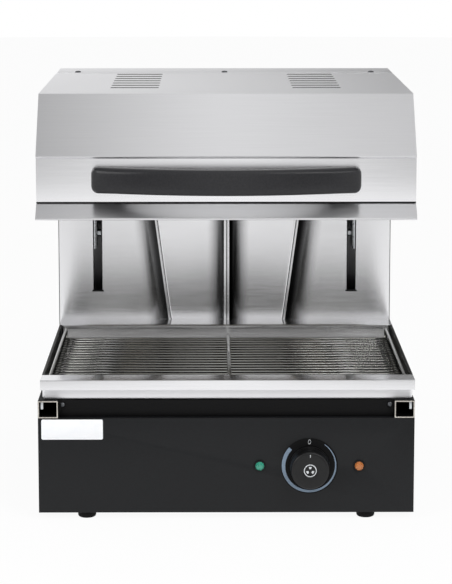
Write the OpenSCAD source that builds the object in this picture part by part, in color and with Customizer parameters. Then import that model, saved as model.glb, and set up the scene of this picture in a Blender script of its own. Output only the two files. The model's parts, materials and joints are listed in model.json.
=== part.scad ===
// Countertop cheese melter with a rise-and-fall heating head.
// Frame: +X to the right, +Y to the back, +Z up, millimetres.
// The origin lies on the table under the middle of the machine.

/* [Base] */
// Width of the machine
body_w = 450; // [430:5:480]
// Depth from the control panel to the rear wall
base_d = 466; // [450:2:500]
// Height of the base box above its feet
base_h = 116; // [106:2:130]
// Thickness of the folded sheet
sheet = 1.2; // [1:0.1:1.5]
// Thickness of the control panel
panel_t = 1.5; // [1.2:0.1:2]
// Diameter of a rubber foot
foot_d = 23; // [19:1:27]
// Height of a rubber foot
foot_h = 8; // [6:1:14]
// Distance of a foot's centre from the nearest side
foot_inset_x = 57; // [40:1:70]
// Distance of a foot's centre from the front or rear wall
foot_inset_y = 14; // [14:1:30]

/* [Controls] */
// Distance of the knob's centre from the right side
knob_side = 125.5; // [115:0.5:135]
// Height of the knob's centre above the base's lower edge
control_h = 57.5; // [48:0.5:62]
// Diameter of the knob
knob_d = 48; // [40:1:52]
// Distance of the knob's face in front of the control panel
knob_reach = 25; // [20:1:30]
// Diameter of the dial plate round the knob
dial_d = 68; // [60:1:72]
// Distance of each pilot lamp from the knob's centre
lamp_pitch = 59.5; // [50:0.5:62]
// Diameter of a pilot lamp's lens
lamp_d = 13; // [12:0.5:14]
// Width of the blank badge plate
badge_w = 73.5; // [60:0.5:80]
// Height of the blank badge plate
badge_h = 24.5; // [20:0.5:26]

/* [Rails and tray] */
// Height of a tray rail
rail_h = 21; // [18:1:28]
// Width of a tray rail
rail_w = 24; // [22:1:28]
// Wall of a tray rail
rail_wall = 1.5; // [1.2:0.1:2]
// Depth of the tray from its rim to the underside of its floor
tray_h = 25; // [22:1:32]
// Thickness of the tray's sheet
tray_t = 1; // [0.8:0.1:1.2]
// Clearance between the tray's walls and the sides of the machine
tray_side_gap = 3.5; // [3:0.5:5]
// Width of the tray's front rim
rim_front = 30; // [24:1:36]
// Width of the tray's rear flange
rim_rear = 39; // [30:1:45]
// Height of the folded lip in front of the tray
lip_fold = 12; // [10:1:14]
// Diameter of a grid wire
wire_d = 4; // [3:0.2:5]
// Distance between neighbouring grid bars
bar_pitch = 15.5; // [12:0.5:20]
// Clearance between the grid's ends and the tray's walls
grid_gap = 4; // [3:0.5:8]
// Diameter of the middle rod that lies over the bars
middle_d = 5; // [4:0.2:6]

/* [Column] */
// Depth of the rear column
column_d = 81; // [78:1:90]
// Height of the column above the base
column_h = 382; // [370:2:400]
// Distance of a slot's centre from the nearest side
slot_inset = 53; // [46:1:60]
// Width of a slot
slot_w = 12.6; // [12:0.2:14]
// Height of a slot's lower end above the base
slot_foot = 84.5; // [80:0.5:88]
// Diameter of a guide rod
rod_d = 12; // [10:1:14]
// Distance of the guide rods' centres behind the column's face
rod_back = 30; // [28:1:34]
// Width of the counterweight
weight_w = 190; // [150:5:210]
// Height of the counterweight
weight_h = 130; // [100:5:140]
// Pitch of the lifting chain
chain_pitch = 9.525; // [9.525]
// Number of teeth on a sprocket
teeth = 11; // [10:1:12]

/* [Head] */
// Gap between the head and the column's face
head_gap = 3; // [2:0.5:5]
// Distance of the handle panel behind the control panel
head_setback = 17; // [10:1:20]
// Height of the head's lower edge above the base
head_lift = 239; // [235:1:245]
// Height of the flared lower lip
lip_h = 17; // [14:1:20]
// Distance that the lip flares forward
lip_out = 19; // [14:1:20]
// Height of the handle panel
panel_h = 55; // [48:1:60]
// Height of the hem under the sloped panel
hem_h = 2.4; // [2.4:0.2:4]
// Distance that the hem stands proud of the handle panel
hem_out = 3; // [2:0.5:7]
// Distance that the upper panel slopes back
slope_back = 57; // [40:1:70]
// Length of a vent slot
vent_l = 61; // [50:1:66]
// Width of a vent slot
vent_w = 5; // [4:0.5:7]
// Number of vent slots in a row
vent_n = 7; // [5:1:8]
// Diameter of a heating element
element_d = 8; // [6.5:0.5:9]
// Length of the handle
handle_l = 318; // [280:2:330]
// Height of the handle's grip
handle_h = 31; // [24:1:34]
// Distance of the grip's front from the handle panel
handle_reach = 47; // [42:1:52]
// Thickness of the grip in its middle
grip_t = 15; // [12:1:17]

/* [Motion] */
// Distance that the head can be lowered
head_travel = 55; // [40:1:60]

/* [Hidden] */
$fn = 48;

// Clearances
run_gap = 0.05;       // between a turning or sliding shaft and its bore
fit_gap = 0.25;       // between pieces that only pass each other
free_gap = 0.4;       // between curved faces of different bodies
rest_gap = 0.3;       // under a loose piece that rests on another
weld = 0.4;           // depth that crossed wires are sunk into each other

// Planes of the whole machine
gland_out = 14;
handle_front = handle_reach - head_setback;
front_y = -(base_d + gland_out - handle_front) / 2;
back_y = front_y + base_d;
half_w = body_w / 2;
knob_x = half_w - knob_side;
deck_z = foot_h + base_h;
face_y = back_y - column_d;
top_z = deck_z + column_h;
control_z = foot_h + control_h;

// Tray and grid
rail_z = deck_z + rail_h;
rim_z = rail_z + tray_h;
tray_half = half_w - tray_side_gap;
tray_shift = 1.5;
tray_rear_gap = 0.5;
lip_back = 1;
lip_over = 8;
tray_front = front_y + lip_back + lip_over;
well_front = front_y + lip_back + rim_front;
well_back = face_y - rim_rear;
side_flange = 2;
side_rod_z = rail_z + tray_t + rest_gap + wire_d / 2;
bar_level = side_rod_z + wire_d - weld;
loop_z = rim_z - tray_t - free_gap - wire_d / 2;
grid_half = tray_half - tray_t - grid_gap;
loop_over = 4;
loop_front_gap = 1;
grid_front = well_front + loop_over + wire_d / 2 + loop_front_gap;
grid_back = well_back - loop_over - wire_d / 2 - grid_gap;
bar_n = round((grid_back - grid_front) / bar_pitch);
bar_step = (grid_back - grid_front) / bar_n;

// Column mechanism
slot_x = half_w - slot_inset;
slot_z = deck_z + slot_foot;
slot_top_margin = 12;
guide_y = face_y + rod_back;
arm_t = 3.5;
arm_off = 1.25;
arm_x = slot_x + arm_off;
block_l = 26;
block_half = 14;
guide_off = 0.25;
guide_x = arm_x + arm_t + block_l / 2 + guide_off;
bracket_t = 12;
foot_lip = 2;
end_gap = 1.5;
arm_low_z = slot_z + foot_lip + head_travel + end_gap;
block_step = 3;
lower_block_z = arm_low_z + block_step;
arm_drop = 22;
arm_top_z = top_z - arm_drop;
arm_upper_h = 94;
block_drop = 60;
upper_block_z = top_z - block_drop;
block_h = 30;
sprocket_r = round(100 * chain_pitch / (2 * sin(180 / teeth))) / 100;
hook_reach = 15;
chain_x = weight_w / 2 + hook_reach;
rear_gap = 12;
chain_y = back_y - sheet - rear_gap - sprocket_r;
axle_drop = 32;
upper_axle_z = top_z - axle_drop;
axle_rise = 30;
lower_axle_z = deck_z + axle_rise;
axle_d = 10;
plate_h = 8;
plate_t = 1.2;
roller_d = 6.3;
inner_w = 5.8;
chain_half = inner_w / 2 + plate_t;
tooth_t = 5.2;
axle_over = 26;
axle_end = chain_x + axle_over;
weight_t = 22;
weight_rise = 25;
weight_z = lower_axle_z + weight_rise;
beam_h = 30;
beam_drop = 100;
beam_z = top_z - beam_drop;
beam_t = 4;
jaw_wall = 2;
beam_y = chain_y - sprocket_r - plate_h / 2 - free_gap - jaw_wall - beam_t;
hook_h = 30;

// Head planes
head_z = deck_z + head_lift;
panel_y = front_y + head_setback;
lip_z = head_z + lip_h;
lip_gap = 0.8;
hem_z = lip_z + panel_h;
hem_y = panel_y - hem_out;
slope_z = hem_z + hem_h;
slope_y = hem_y + slope_back;
head_back_y = face_y - head_gap;
handle_rise = 47;
handle_z = head_z + handle_rise;
vent_x = 112.5;
vent_rear_edge = 24;
vent_back = head_back_y - vent_rear_edge;
vent_front_edge = 81;
vent_front = slope_y + vent_front_edge;

// Heating
pan_t = 0.8;
pan_side = 19;
pan_half = half_w - pan_side;
pan_front_gap = 17;
pan_front = panel_y + pan_front_gap;
pan_rear_gap = 16;
pan_back = head_back_y - pan_rear_gap;
pan_rise = 40;
pan_top = head_z + pan_rise;
ring_edge = 3;
element_rise = 24;
element_z = head_z + element_rise;
hairpin_n = 3;
hairpin_w = 44;
hairpin_edge = 35;
bend_gap = 6;
element_half = pan_half - hairpin_w / 2 - element_d / 2 - bend_gap;
hairpin_pitch = (pan_back - pan_front - hairpin_w - 2 * hairpin_edge) / (hairpin_n - 1);
hairpin_y0 = pan_front + hairpin_edge;
support_x = 95;
element_tail = 10;
blanket_t = 20;
blanket_edge = 8;

// ---- helpers -------------------------------------------------------------

// A block between two opposite corners
module block(low, high) {
    translate(low) cube(high - low);
}

// Straight round bars along each axis
module rod_x(x0, x1, y, z, d) {
    translate([x0, y, z]) rotate([0, 90, 0]) cylinder(d = d, h = x1 - x0);
}
module rod_y(x, y0, y1, z, d) {
    translate([x, y0, z]) rotate([-90, 0, 0]) cylinder(d = d, h = y1 - y0);
}
module rod_z(x, y, z0, z1, d) {
    translate([x, y, z0]) cylinder(d = d, h = z1 - z0);
}

// Both halves of a mirrored pair
module pair() {
    children();
    mirror([1, 0, 0]) children();
}

// Left normal of the step from a to b, and a path moved sideways by t with mitred corners
function unit(v) = v / norm(v);
function normal(a, b) = let (d = unit(b - a)) [-d[1], d[0]];
function shifted(path, t) = [
    for (i = [0:len(path) - 1])
        let (n0 = normal(path[max(i - 1, 0)], path[max(i, 1)]))
        let (last = len(path) - 1)
        let (n1 = normal(path[min(i, last - 1)], path[min(i + 1, last)]))
        path[i] + t * (n0 + n1) / (1 + n0 * n1)
];
function reversed(path) = [for (i = [len(path) - 1:-1:0]) path[i]];

// Sheet folded along a path in the Y-Z plane; t is measured to the left of the path
module folded(path, t, x0, x1) {
    translate([x0, 0, 0])
        rotate([90, 0, 90])
            linear_extrude(x1 - x0)
                polygon(concat(path, reversed(shifted(path, t))));
}

// A flat plate whose outline lies in the Y-Z plane
module side_plate(path, x0, x1) {
    translate([x0, 0, 0])
        rotate([90, 0, 90])
            linear_extrude(x1 - x0)
                polygon(path);
}

// Rounded rectangle of size w by h, centred
module rounded(w, h, r) {
    square([w, h - 2 * r], center = true);
    square([w - 2 * r, h], center = true);
    for (sx = [-1, 1], sy = [-1, 1]) {
        translate([sx * (w / 2 - r), sy * (h / 2 - r)]) circle(r);
    }
}

// Outline in the X-Z plane pushed along +Y
module push_y(y0, y1) {
    translate([0, y1, 0]) rotate([90, 0, 0]) linear_extrude(y1 - y0) children();
}

// Pan-head screw along +Z, its head's underside at the origin
module pan_screw(head_d, head_h, shank_d, shank_l) {
    slot = 0.35 * head_h;
    difference() {
        cylinder(d1 = head_d, d2 = 0.72 * head_d, h = head_h);
        for (a = [0, 90]) {
            rotate([0, 0, a])
                translate([-0.25 * head_d, -0.06 * head_d, head_h - slot])
                    cube([0.5 * head_d, 0.12 * head_d, slot + 1]);
        }
    }
    translate([0, 0, -shank_l]) cylinder(d = shank_d, h = shank_l);
}

// ---- base ------------------------------------------------------------------

gland_rise = 36;
gland_z = foot_h + gland_rise;
gland_side = 75;
gland_x = gland_side - half_w;
gland_hole = 20;
gland_hex = 26;
gland_t = 5;
gland_inside = 12;
cable_d = 9;
shaft_d = 6;
bush_d = 10;
lamp_hole = 10;
screw_d = 5;
foot_web = 3.5;

module foot_places() {
    for (sx = [-1, 1], y = [front_y + foot_inset_y, back_y - foot_inset_y]) {
        translate([sx * (half_w - foot_inset_x), y, 0]) children();
    }
}

module base_body() {
    color("#1d1f21") difference() {
        block([-half_w, front_y + panel_t, foot_h], [half_w, back_y, deck_z]);
        block([-half_w + sheet, front_y, foot_h - 1], [half_w - sheet, back_y - sheet, deck_z - sheet]);
        rod_y(gland_x, back_y - 2 * sheet, back_y + 1, gland_z, gland_hole);
    }
}

module control_panel() {
    color("#242629") difference() {
        block([-half_w, front_y, foot_h], [half_w, front_y + panel_t, deck_z]);
        rod_y(knob_x, front_y - 1, front_y + panel_t + 1, control_z, bush_d + 2 * fit_gap);
        for (s = [-1, 1]) {
            rod_y(knob_x + s * lamp_pitch, front_y - 1, front_y + panel_t + 1, control_z, lamp_hole);
        }
    }
}

module bottom_plate() {
    slot_l = 60;
    louvre_x = 90;
    louvre_w = 5;
    louvre_step = 20;
    louvre_n = 8;
    first_y = -60;
    color("#2a2c2e") difference() {
        block([-half_w + sheet, front_y + panel_t, foot_h],
              [half_w - sheet, back_y - sheet, foot_h + sheet]);
        foot_places() cylinder(d = screw_d + 2 * fit_gap, h = foot_h + 3 * sheet);
        for (sx = [-1, 1], row = [0:louvre_n - 1]) {
            translate([sx * louvre_x - slot_l / 2, first_y + louvre_step * row, foot_h - 1])
                cube([slot_l, louvre_w, 2 * sheet + 1]);
        }
    }
}

module rubber_feet() {
    recess_d = 11;
    color("#141414") foot_places() difference() {
        cylinder(d1 = 0.9 * foot_d, d2 = foot_d, h = foot_h);
        translate([0, 0, -1]) cylinder(d = recess_d, h = 1 + foot_web);
        cylinder(d = screw_d + 2 * fit_gap, h = foot_h + 1);
    }
}

module foot_screws() {
    head_d = 9;
    head_h = 2.5;
    nut_z = foot_h + sheet;
    nut_h = 4;
    color("#b9bcc0") foot_places() {
        translate([0, 0, foot_web - head_h]) cylinder(d = head_d, h = head_h);
        translate([0, 0, foot_web - 0.5]) cylinder(d = screw_d, h = nut_z + nut_h + 2.5 - foot_web);
        translate([0, 0, nut_z]) cylinder(d = head_d, h = nut_h, $fn = 6);
    }
}

module rail_right() {
    color("#17181a") difference() {
        block([half_w - rail_w, front_y, deck_z], [half_w, face_y, rail_z]);
        block([half_w - rail_w + rail_wall, front_y - 1, deck_z + rail_wall],
              [half_w - rail_wall, face_y + 1, rail_z - rail_wall]);
    }
}

module rail_left() {
    mirror([1, 0, 0]) rail_right();
}

module rail_stops() {
    stop_w = 3.2;
    stop_l = 14;
    stop_h = 9;
    x1 = half_w - rail_wall - 1.8;
    z1 = rail_z - rail_wall;
    color("#d8d8d4") pair() block([x1 - stop_w, front_y + 1, z1 - stop_h], [x1, front_y + 1 + stop_l, z1]);
}

riser_setback = 8;
riser_y = front_y + riser_setback;
riser_top = rail_z - 0.5;
riser_half = half_w - rail_w;
riser_d = 22;
riser_screw_x = riser_half - 5;
riser_screw_z = rail_z - 6;
riser_screw_d = 4;

module front_riser() {
    path = [[riser_y + riser_d, riser_top], [riser_y, riser_top], [riser_y, deck_z]];
    color("#121314") difference() {
        folded(path, sheet, -riser_half, riser_half);
        for (s = [-1, 1]) {
            rod_y(s * riser_screw_x, riser_y - 1, riser_y + 3 * sheet, riser_screw_z, riser_screw_d + 0.2);
        }
    }
}

module riser_screws() {
    color("#7d8084") for (s = [-1, 1]) {
        translate([s * riser_screw_x, riser_y, riser_screw_z]) rotate([90, 0, 0])
            pan_screw(1.5 * riser_screw_d, riser_screw_d / 2, riser_screw_d, 1.5 * riser_screw_d);
    }
}

badge_t = 0.5;
module badge_plate() {
    side_edge = 4;
    top_edge = 1.5;
    color("white") translate([-half_w + side_edge + badge_w / 2, 0, deck_z - top_edge - badge_h / 2])
        push_y(front_y - badge_t, front_y) rounded(badge_w, badge_h, 2);
}

dial_t = 0.6;
knob_gap = 1.2;
knob_cap = 6;
shaft_tip = front_y - knob_reach + knob_cap;
shaft_in = 20;
module dial_plate() {
    color("#1b1c1e") difference() {
        rod_y(knob_x, front_y - dial_t, front_y, control_z, dial_d);
        rod_y(knob_x, front_y - 1, front_y + 1, control_z, bush_d + 2 * fit_gap);
    }
}

module lamp_lens(x) {
    collar = 1.5;
    dome = 3.5;
    translate([x, front_y, control_z]) rotate([90, 0, 0]) {
        cylinder(d = lamp_d, h = collar);
        translate([0, 0, collar]) cylinder(d1 = lamp_d - 2, d2 = lamp_d - 5, h = dome);
    }
}
module lamp_green() {
    color("#1f9e6a") lamp_lens(knob_x - lamp_pitch);
}
module lamp_orange() {
    color("#d8732a") lamp_lens(knob_x + lamp_pitch);
}
module lamp_bodies() {
    body_l = 26;
    clip_t = 3;
    inside_y = front_y + panel_t;
    color("#d9d6cc") for (x = [knob_x - lamp_pitch, knob_x + lamp_pitch]) {
        rod_y(x, front_y, front_y + body_l, control_z, lamp_hole - 2 * run_gap);
        rod_y(x, inside_y, inside_y + clip_t, control_z, lamp_d);
    }
}

module regulator_body() {
    case_w = 46;
    case_l = 30;
    inside_y = front_y + panel_t;
    color("#e6e2d6") difference() {
        union() {
            translate([knob_x, 0, control_z])
                push_y(inside_y, inside_y + case_l) square(case_w, center = true);
            rod_y(knob_x, front_y - dial_t, inside_y + 1, control_z, bush_d);
        }
        rod_y(knob_x, front_y - 2, inside_y + shaft_in + 2, control_z, shaft_d + 2 * run_gap);
    }
}

module regulator_shaft() {
    color("#c4c6c8") rod_y(knob_x, shaft_tip, front_y + panel_t + shaft_in, control_z, shaft_d);
}

module knob() {
    skirt_y = front_y - dial_t - knob_gap;
    skirt_h = 4;
    taper = 2;
    face_d = 16;
    face_y0 = front_y - knob_reach;
    color("#1c1c1d") difference() {
        union() {
            rod_y(knob_x, skirt_y - skirt_h, skirt_y, control_z, knob_d);
            translate([knob_x, skirt_y - skirt_h, control_z]) rotate([90, 0, 0])
                cylinder(d1 = knob_d - 1, d2 = knob_d - taper, h = skirt_y - skirt_h - face_y0);
        }
        rod_y(knob_x, shaft_tip, front_y, control_z, shaft_d + 2 * run_gap);
        rod_y(knob_x, face_y0 - 1, face_y0 + 0.8, control_z, face_d);
    }
}

module terminal_block() {
    rear_space = 70;
    y = back_y - rear_space;
    z = foot_h + sheet;
    length = 60;
    width = 22;
    height = 18;
    pole_pitch = 11;
    pole_d = 5;
    pole_depth = 10;
    color("#efece2") difference() {
        block([gland_x - length / 2, y - width / 2, z], [gland_x + length / 2, y + width / 2, z + height]);
        for (i = [-2:2]) rod_z(gland_x + pole_pitch * i, y, z + height - pole_depth, z + height + 1, pole_d);
    }
}

module cable_gland() {
    sink = 1;
    dome_y = back_y + gland_t - sink;
    dome_d = gland_hex - gland_t;
    dome_taper = 6;
    color("#18191a") difference() {
        union() {
            translate([gland_x, back_y, gland_z]) rotate([-90, 0, 0])
                cylinder(d = gland_hex, h = gland_t, $fn = 6);
            translate([gland_x, dome_y, gland_z]) rotate([-90, 0, 0])
                cylinder(d1 = dome_d, d2 = dome_d - dome_taper, h = gland_out - gland_t + sink);
            rod_y(gland_x, back_y - gland_inside, back_y + 1, gland_z, gland_hole - 2 * run_gap);
        }
        rod_y(gland_x, back_y - gland_inside - 1, back_y + gland_out + 1, gland_z, cable_d);
    }
}

module gland_nut() {
    nut_y = back_y - sheet;
    color("#202122") difference() {
        translate([gland_x, nut_y - gland_t, gland_z]) rotate([-90, 0, 0])
            cylinder(d = gland_hex + 1, h = gland_t, $fn = 6);
        rod_y(gland_x, nut_y - gland_t - 1, nut_y + 1, gland_z, gland_hole);
    }
}

// ---- tray and grid -----------------------------------------------------------

module drip_tray() {
    lip_y = front_y + lip_back;
    color("#c9cacc") translate([tray_shift, 0, 0]) {
        difference() {
            block([-tray_half, tray_front, rail_z], [tray_half, well_back + tray_t, rim_z]);
            block([-tray_half + tray_t, tray_front + tray_t, rail_z + tray_t],
                  [tray_half - tray_t, well_back, rim_z + 1]);
        }
        block([-tray_half, lip_y, rim_z - tray_t], [tray_half, well_front, rim_z]);
        block([-tray_half, well_back, rim_z - tray_t], [tray_half, face_y - tray_rear_gap, rim_z]);
        block([-tray_half - side_flange, lip_y, rim_z - lip_fold],
              [tray_half + side_flange, lip_y + tray_t, rim_z]);
        for (s = [0, 1]) mirror([s, 0, 0]) {
            block([tray_half - tray_t, lip_y, rim_z - tray_t],
                  [tray_half + side_flange, face_y - tray_rear_gap, rim_z]);
        }
    }
}

module grid_bars() {
    color("#b9b9b4") translate([tray_shift, 0, 0]) {
        for (i = [0:bar_n]) {
            rod_x(-grid_half, grid_half, grid_front + i * bar_step, bar_level, wire_d);
        }
        rod_y(3, grid_front - 3, grid_back + 3, bar_level + (wire_d + middle_d) / 2 - weld, middle_d);
    }
}

// A flat wire loop that stands upright at each end of the grid
module wire_loop(y0, y1, z0, z1, d) {
    r = (z1 - z0) / 2;
    zc = (z0 + z1) / 2;
    rod_y(0, y0 + r, y1 - r, z0, d);
    rod_y(0, y0 + r, y1 - r, z1, d);
    for (e = [[y0 + r, 90], [y1 - r, -90]]) {
        translate([0, e[0], zc]) rotate([0, 90, 0]) rotate([0, 0, e[1] + 90])
            rotate_extrude(angle = 180) translate([r, 0]) circle(d = d);
    }
}

module grid_frame() {
    color("#c7c7c2") translate([tray_shift, 0, 0]) pair() {
        translate([grid_half - wire_d / 2, 0, 0])
            wire_loop(grid_front - loop_over, grid_back + loop_over, side_rod_z, loop_z, wire_d);
    }
}

// ---- column ------------------------------------------------------------------

// The pressed creases: one upright in the middle, two that lean towards it
crease_w = 7;
crease_t = 0.8;
crease_drop = 30;
module creases() {
    top = top_z - crease_drop;
    low = rim_z + 2;
    lean = 18;
    reach = 134;
    x_low = 76;
    x_top = x_low + lean * (top - low) / reach;
    push_y(face_y - crease_t, face_y) {
        for (s = [-1, 1]) {
            polygon([[s * x_low - crease_w / 2, low], [s * x_low + crease_w / 2, low],
                     [s * x_top + crease_w / 2, top], [s * x_top - crease_w / 2, top]]);
        }
        translate([3 - crease_w / 2, low]) square([crease_w, top - low]);
    }
}

module slot_cut(w, y0, y1, z0) {
    pair() block([slot_x - w / 2, y0, z0], [slot_x + w / 2, y1, top_z - slot_top_margin]);
}

module column_face() {
    color("#e4e4e6") difference() {
        union() {
            block([-half_w, face_y, deck_z], [half_w, face_y + sheet, top_z - sheet]);
            creases();
        }
        slot_cut(slot_w, face_y - 2, face_y + 2 * sheet, slot_z);
    }
}

module column_shell() {
    color("#b4b6b8") difference() {
        block([-half_w, face_y + sheet, deck_z], [half_w, back_y, top_z - sheet]);
        block([-half_w + sheet, face_y, deck_z - 1], [half_w - sheet, back_y - sheet, top_z]);
    }
}

cap_screw_side = 28;
cap_screw_x = half_w - cap_screw_side;
cap_screw_back = 12;
cap_screw_y = face_y + cap_screw_back;
cap_screw_d = 4;
cap_screw_l = 7;
module cap_screw_places() {
    for (x = [-cap_screw_x, 0, cap_screw_x]) translate([x, cap_screw_y, top_z]) children();
}

module column_cap() {
    color("#c2c3c5") difference() {
        block([-half_w, face_y, top_z - sheet], [half_w, back_y, top_z]);
        cap_screw_places() translate([0, 0, -3]) cylinder(d = cap_screw_d + free_gap, h = 5);
    }
}

module cap_screws() {
    color("#8d8f91") cap_screw_places()
        pan_screw(2 * cap_screw_d, 0.45 * cap_screw_d, cap_screw_d, cap_screw_l);
}

liner_t = 1.6;
liner_edge = 7;
module slot_liners() {
    foot_w = slot_w + 3;
    top = top_z - slot_top_margin;
    color("#0d0d0e") pair() {
        difference() {
            block([slot_x - slot_w / 2 - liner_edge, face_y + sheet, slot_z - liner_edge],
                  [slot_x + slot_w / 2 + liner_edge, face_y + sheet + liner_t, top + 4]);
            block([slot_x - slot_w / 2 + 0.6, face_y, slot_z + foot_lip],
                  [slot_x + slot_w / 2 - 0.6, face_y + 2 * sheet + liner_t, top - 1]);
        }
        block([slot_x - slot_w / 2, face_y - 0.1, slot_z],
              [slot_x + slot_w / 2, face_y + sheet, slot_z + foot_lip]);
        block([slot_x - foot_w / 2, face_y - 1.2, slot_z],
              [slot_x + foot_w / 2, face_y, slot_z + foot_lip]);
    }
}

rod_low = deck_z + 4;
rod_high = top_z - sheet - 4;
module guide_rods() {
    color("#d6d8da") pair() rod_z(guide_x, guide_y, rod_low, rod_high, rod_d);
}

module rod_brackets() {
    half = 12;
    color("#8b8e91") pair() for (z = [rod_low, rod_high - bracket_t]) difference() {
        block([guide_x - half, guide_y - half, z], [guide_x + half, back_y - sheet, z + bracket_t]);
        rod_z(guide_x, guide_y, z - 1, z + bracket_t + 1, rod_d + 2 * run_gap);
    }
}

module axle_brackets() {
    half = 13;
    t = 5;
    foot_t = 3;
    foot_l = 20;
    x0 = axle_end - 2 - t;
    color("#7e8184") pair() for (z = [lower_axle_z, upper_axle_z]) difference() {
        union() {
            block([x0, chain_y - half, z - half], [x0 + t, back_y - sheet, z + half]);
            block([x0, back_y - sheet - foot_t, z - half], [x0 + foot_l, back_y - sheet, z + half]);
        }
        rod_x(x0 - 1, x0 + t + 1, chain_y, z, axle_d + 2 * run_gap);
    }
}

// Closed outline of one side plate strand, in the Y-Z plane
module chain_outline(r) {
    translate([chain_y, lower_axle_z]) circle(r);
    translate([chain_y, upper_axle_z]) circle(r);
    translate([chain_y - r, lower_axle_z]) square([2 * r, upper_axle_z - lower_axle_z]);
}

roller_start = lower_axle_z + sprocket_r + roller_d;
roller_n = floor((upper_axle_z - lower_axle_z - 2 * (sprocket_r + roller_d)) / chain_pitch);
module lifting_chains() {
    color("#55585b") pair() translate([chain_x, 0, 0]) {
        for (x = [-chain_half, inner_w / 2]) translate([x, 0, 0]) rotate([90, 0, 90])
            linear_extrude(plate_t) difference() {
                chain_outline(sprocket_r + plate_h / 2);
                chain_outline(sprocket_r - plate_h / 2);
            }
        for (i = [0:roller_n], s = [-1, 1]) {
            z = roller_start + i * chain_pitch;
            rod_x(-inner_w / 2, inner_w / 2, chain_y + s * sprocket_r, z, roller_d);
        }
    }
}

// Toothed wheel in the X-Y plane, cut by the rollers of the chain
module sprocket() {
    hub_d = 20;
    hub_l = 16;
    difference() {
        union() {
            translate([0, 0, -tooth_t / 2]) cylinder(r = sprocket_r + 1.8, h = tooth_t);
            translate([0, 0, -hub_l / 2]) cylinder(d = hub_d, h = hub_l);
        }
        cylinder(d = axle_d + 2 * run_gap, h = 2 * hub_l, center = true);
        for (i = [0:teeth - 1]) {
            rotate([0, 0, 360 / teeth * i]) translate([sprocket_r, 0, 0])
                cylinder(d = roller_d + 0.4, h = 2 * tooth_t, center = true);
        }
    }
}

module sprocket_set(z) {
    pair() translate([chain_x, chain_y, z]) rotate([0, 90, 0]) sprocket();
}
module axle_at(z) {
    rod_x(-axle_end, axle_end, chain_y, z, axle_d);
}
module upper_axle() {
    color("#cfd1d3") axle_at(upper_axle_z);
}
module upper_sprockets() {
    color("#6e7174") sprocket_set(upper_axle_z);
}
module lower_axle() {
    color("#cfd1d3") axle_at(lower_axle_z);
}
module lower_sprockets() {
    color("#6e7174") sprocket_set(lower_axle_z);
}

weight_y = chain_y + sprocket_r - weight_t / 2 - 3;
module counterweight() {
    color("#3d4043") block([-weight_w / 2, weight_y, weight_z],
                           [weight_w / 2, weight_y + weight_t, weight_z + weight_h]);
}

// Sleeve round one chain run; the chain passes through it with a free gap
module chain_jaw(y_run, z0, z1) {
    w = chain_half + free_gap;
    d = plate_h / 2 + free_gap;
    difference() {
        block([chain_x - w - jaw_wall, y_run - d - jaw_wall, z0],
              [chain_x + w + jaw_wall, y_run + d + jaw_wall, z1]);
        block([chain_x - w, y_run - d, z0 - 1], [chain_x + w, y_run + d, z1 + 1]);
    }
}

module weight_hooks() {
    hook_t = 6;
    z0 = weight_z + (weight_h - hook_h) / 2;
    hook_y = weight_y + hook_t;
    jaw_x = chain_x - chain_half - free_gap - jaw_wall;
    color("#9a9da0") pair() {
        chain_jaw(chain_y + sprocket_r, z0, z0 + hook_h);
        block([weight_w / 2, hook_y, z0], [jaw_x + jaw_wall / 2, hook_y + hook_t, z0 + hook_h]);
    }
}

// ---- head --------------------------------------------------------------------

module vents() {
    for (sx = [-1, 1], i = [0:vent_n - 1]) {
        y = vent_front + i * (vent_back - vent_front) / (vent_n - 1);
        translate([sx * vent_x, y, top_z - sheet - 1]) linear_extrude(sheet + 2)
            rounded(vent_l, vent_w, vent_w / 2 - 0.01);
    }
}

// Outer paths of the hood and of the flared lip, each from top to bottom
hood_path = [[head_back_y, top_z], [slope_y, top_z], [hem_y, slope_z], [hem_y, hem_z]];
hood_inner = shifted(hood_path, sheet);
lip_hem = 2.4;
lip_y = panel_y - lip_out;
lip_path = [[panel_y - 1, lip_z], [lip_y, head_z + lip_hem], [lip_y, head_z]];
lip_inner = shifted(lip_path, sheet);
inside_half = half_w - sheet;

module head_hood() {
    color("#bfc0c2") difference() {
        union() {
            folded(hood_path, sheet, -half_w, half_w);
            block([-inside_half, hem_y, hem_z], [inside_half, panel_y + 3, hem_z + sheet]);
        }
        vents();
    }
}

handle_screw_side = 15;
handle_screw_x = handle_l / 2 - handle_screw_side;
module head_front() {
    flange = 12;
    low = lip_z + lip_gap;
    color("#d4d5d7") difference() {
        union() {
            block([-half_w, panel_y, low], [half_w, panel_y + sheet, hem_z]);
            block([-inside_half, panel_y, hem_z - sheet], [inside_half, panel_y + flange, hem_z]);
            block([-inside_half, panel_y, low], [inside_half, panel_y + flange, low + sheet]);
        }
        for (s = [-1, 1]) rod_y(s * handle_screw_x, panel_y - 1, panel_y + 3, handle_z, screw_d + 0.5);
    }
}

module head_lip() {
    color("#a9abad") {
        folded(lip_path, sheet, -half_w, half_w);
        block([-inside_half, lip_path[0][0], lip_z - sheet], [inside_half, panel_y + 6, lip_z]);
        block([-half_w, lip_y, head_z], [half_w, pan_front + ring_edge, head_z + sheet]);
        block([-half_w, pan_front, head_z], [-pan_half + ring_edge, head_back_y, head_z + sheet]);
        block([pan_half - ring_edge, pan_front, head_z], [half_w, head_back_y, head_z + sheet]);
        block([-pan_half, pan_back - ring_edge, head_z], [pan_half, head_back_y, head_z + sheet]);
    }
}

module head_ends() {
    low = head_z + sheet;
    outline = [
        [head_back_y, low], [head_back_y, top_z - sheet], hood_inner[1], hood_inner[2],
        [hem_y + sheet, hem_z], [panel_y + sheet, hem_z], [panel_y + sheet, lip_inner[0][1]],
        lip_inner[0], lip_inner[1], [lip_y + sheet, low]
    ];
    color("#b0b2b4") pair() side_plate(outline, inside_half, half_w);
}

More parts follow.
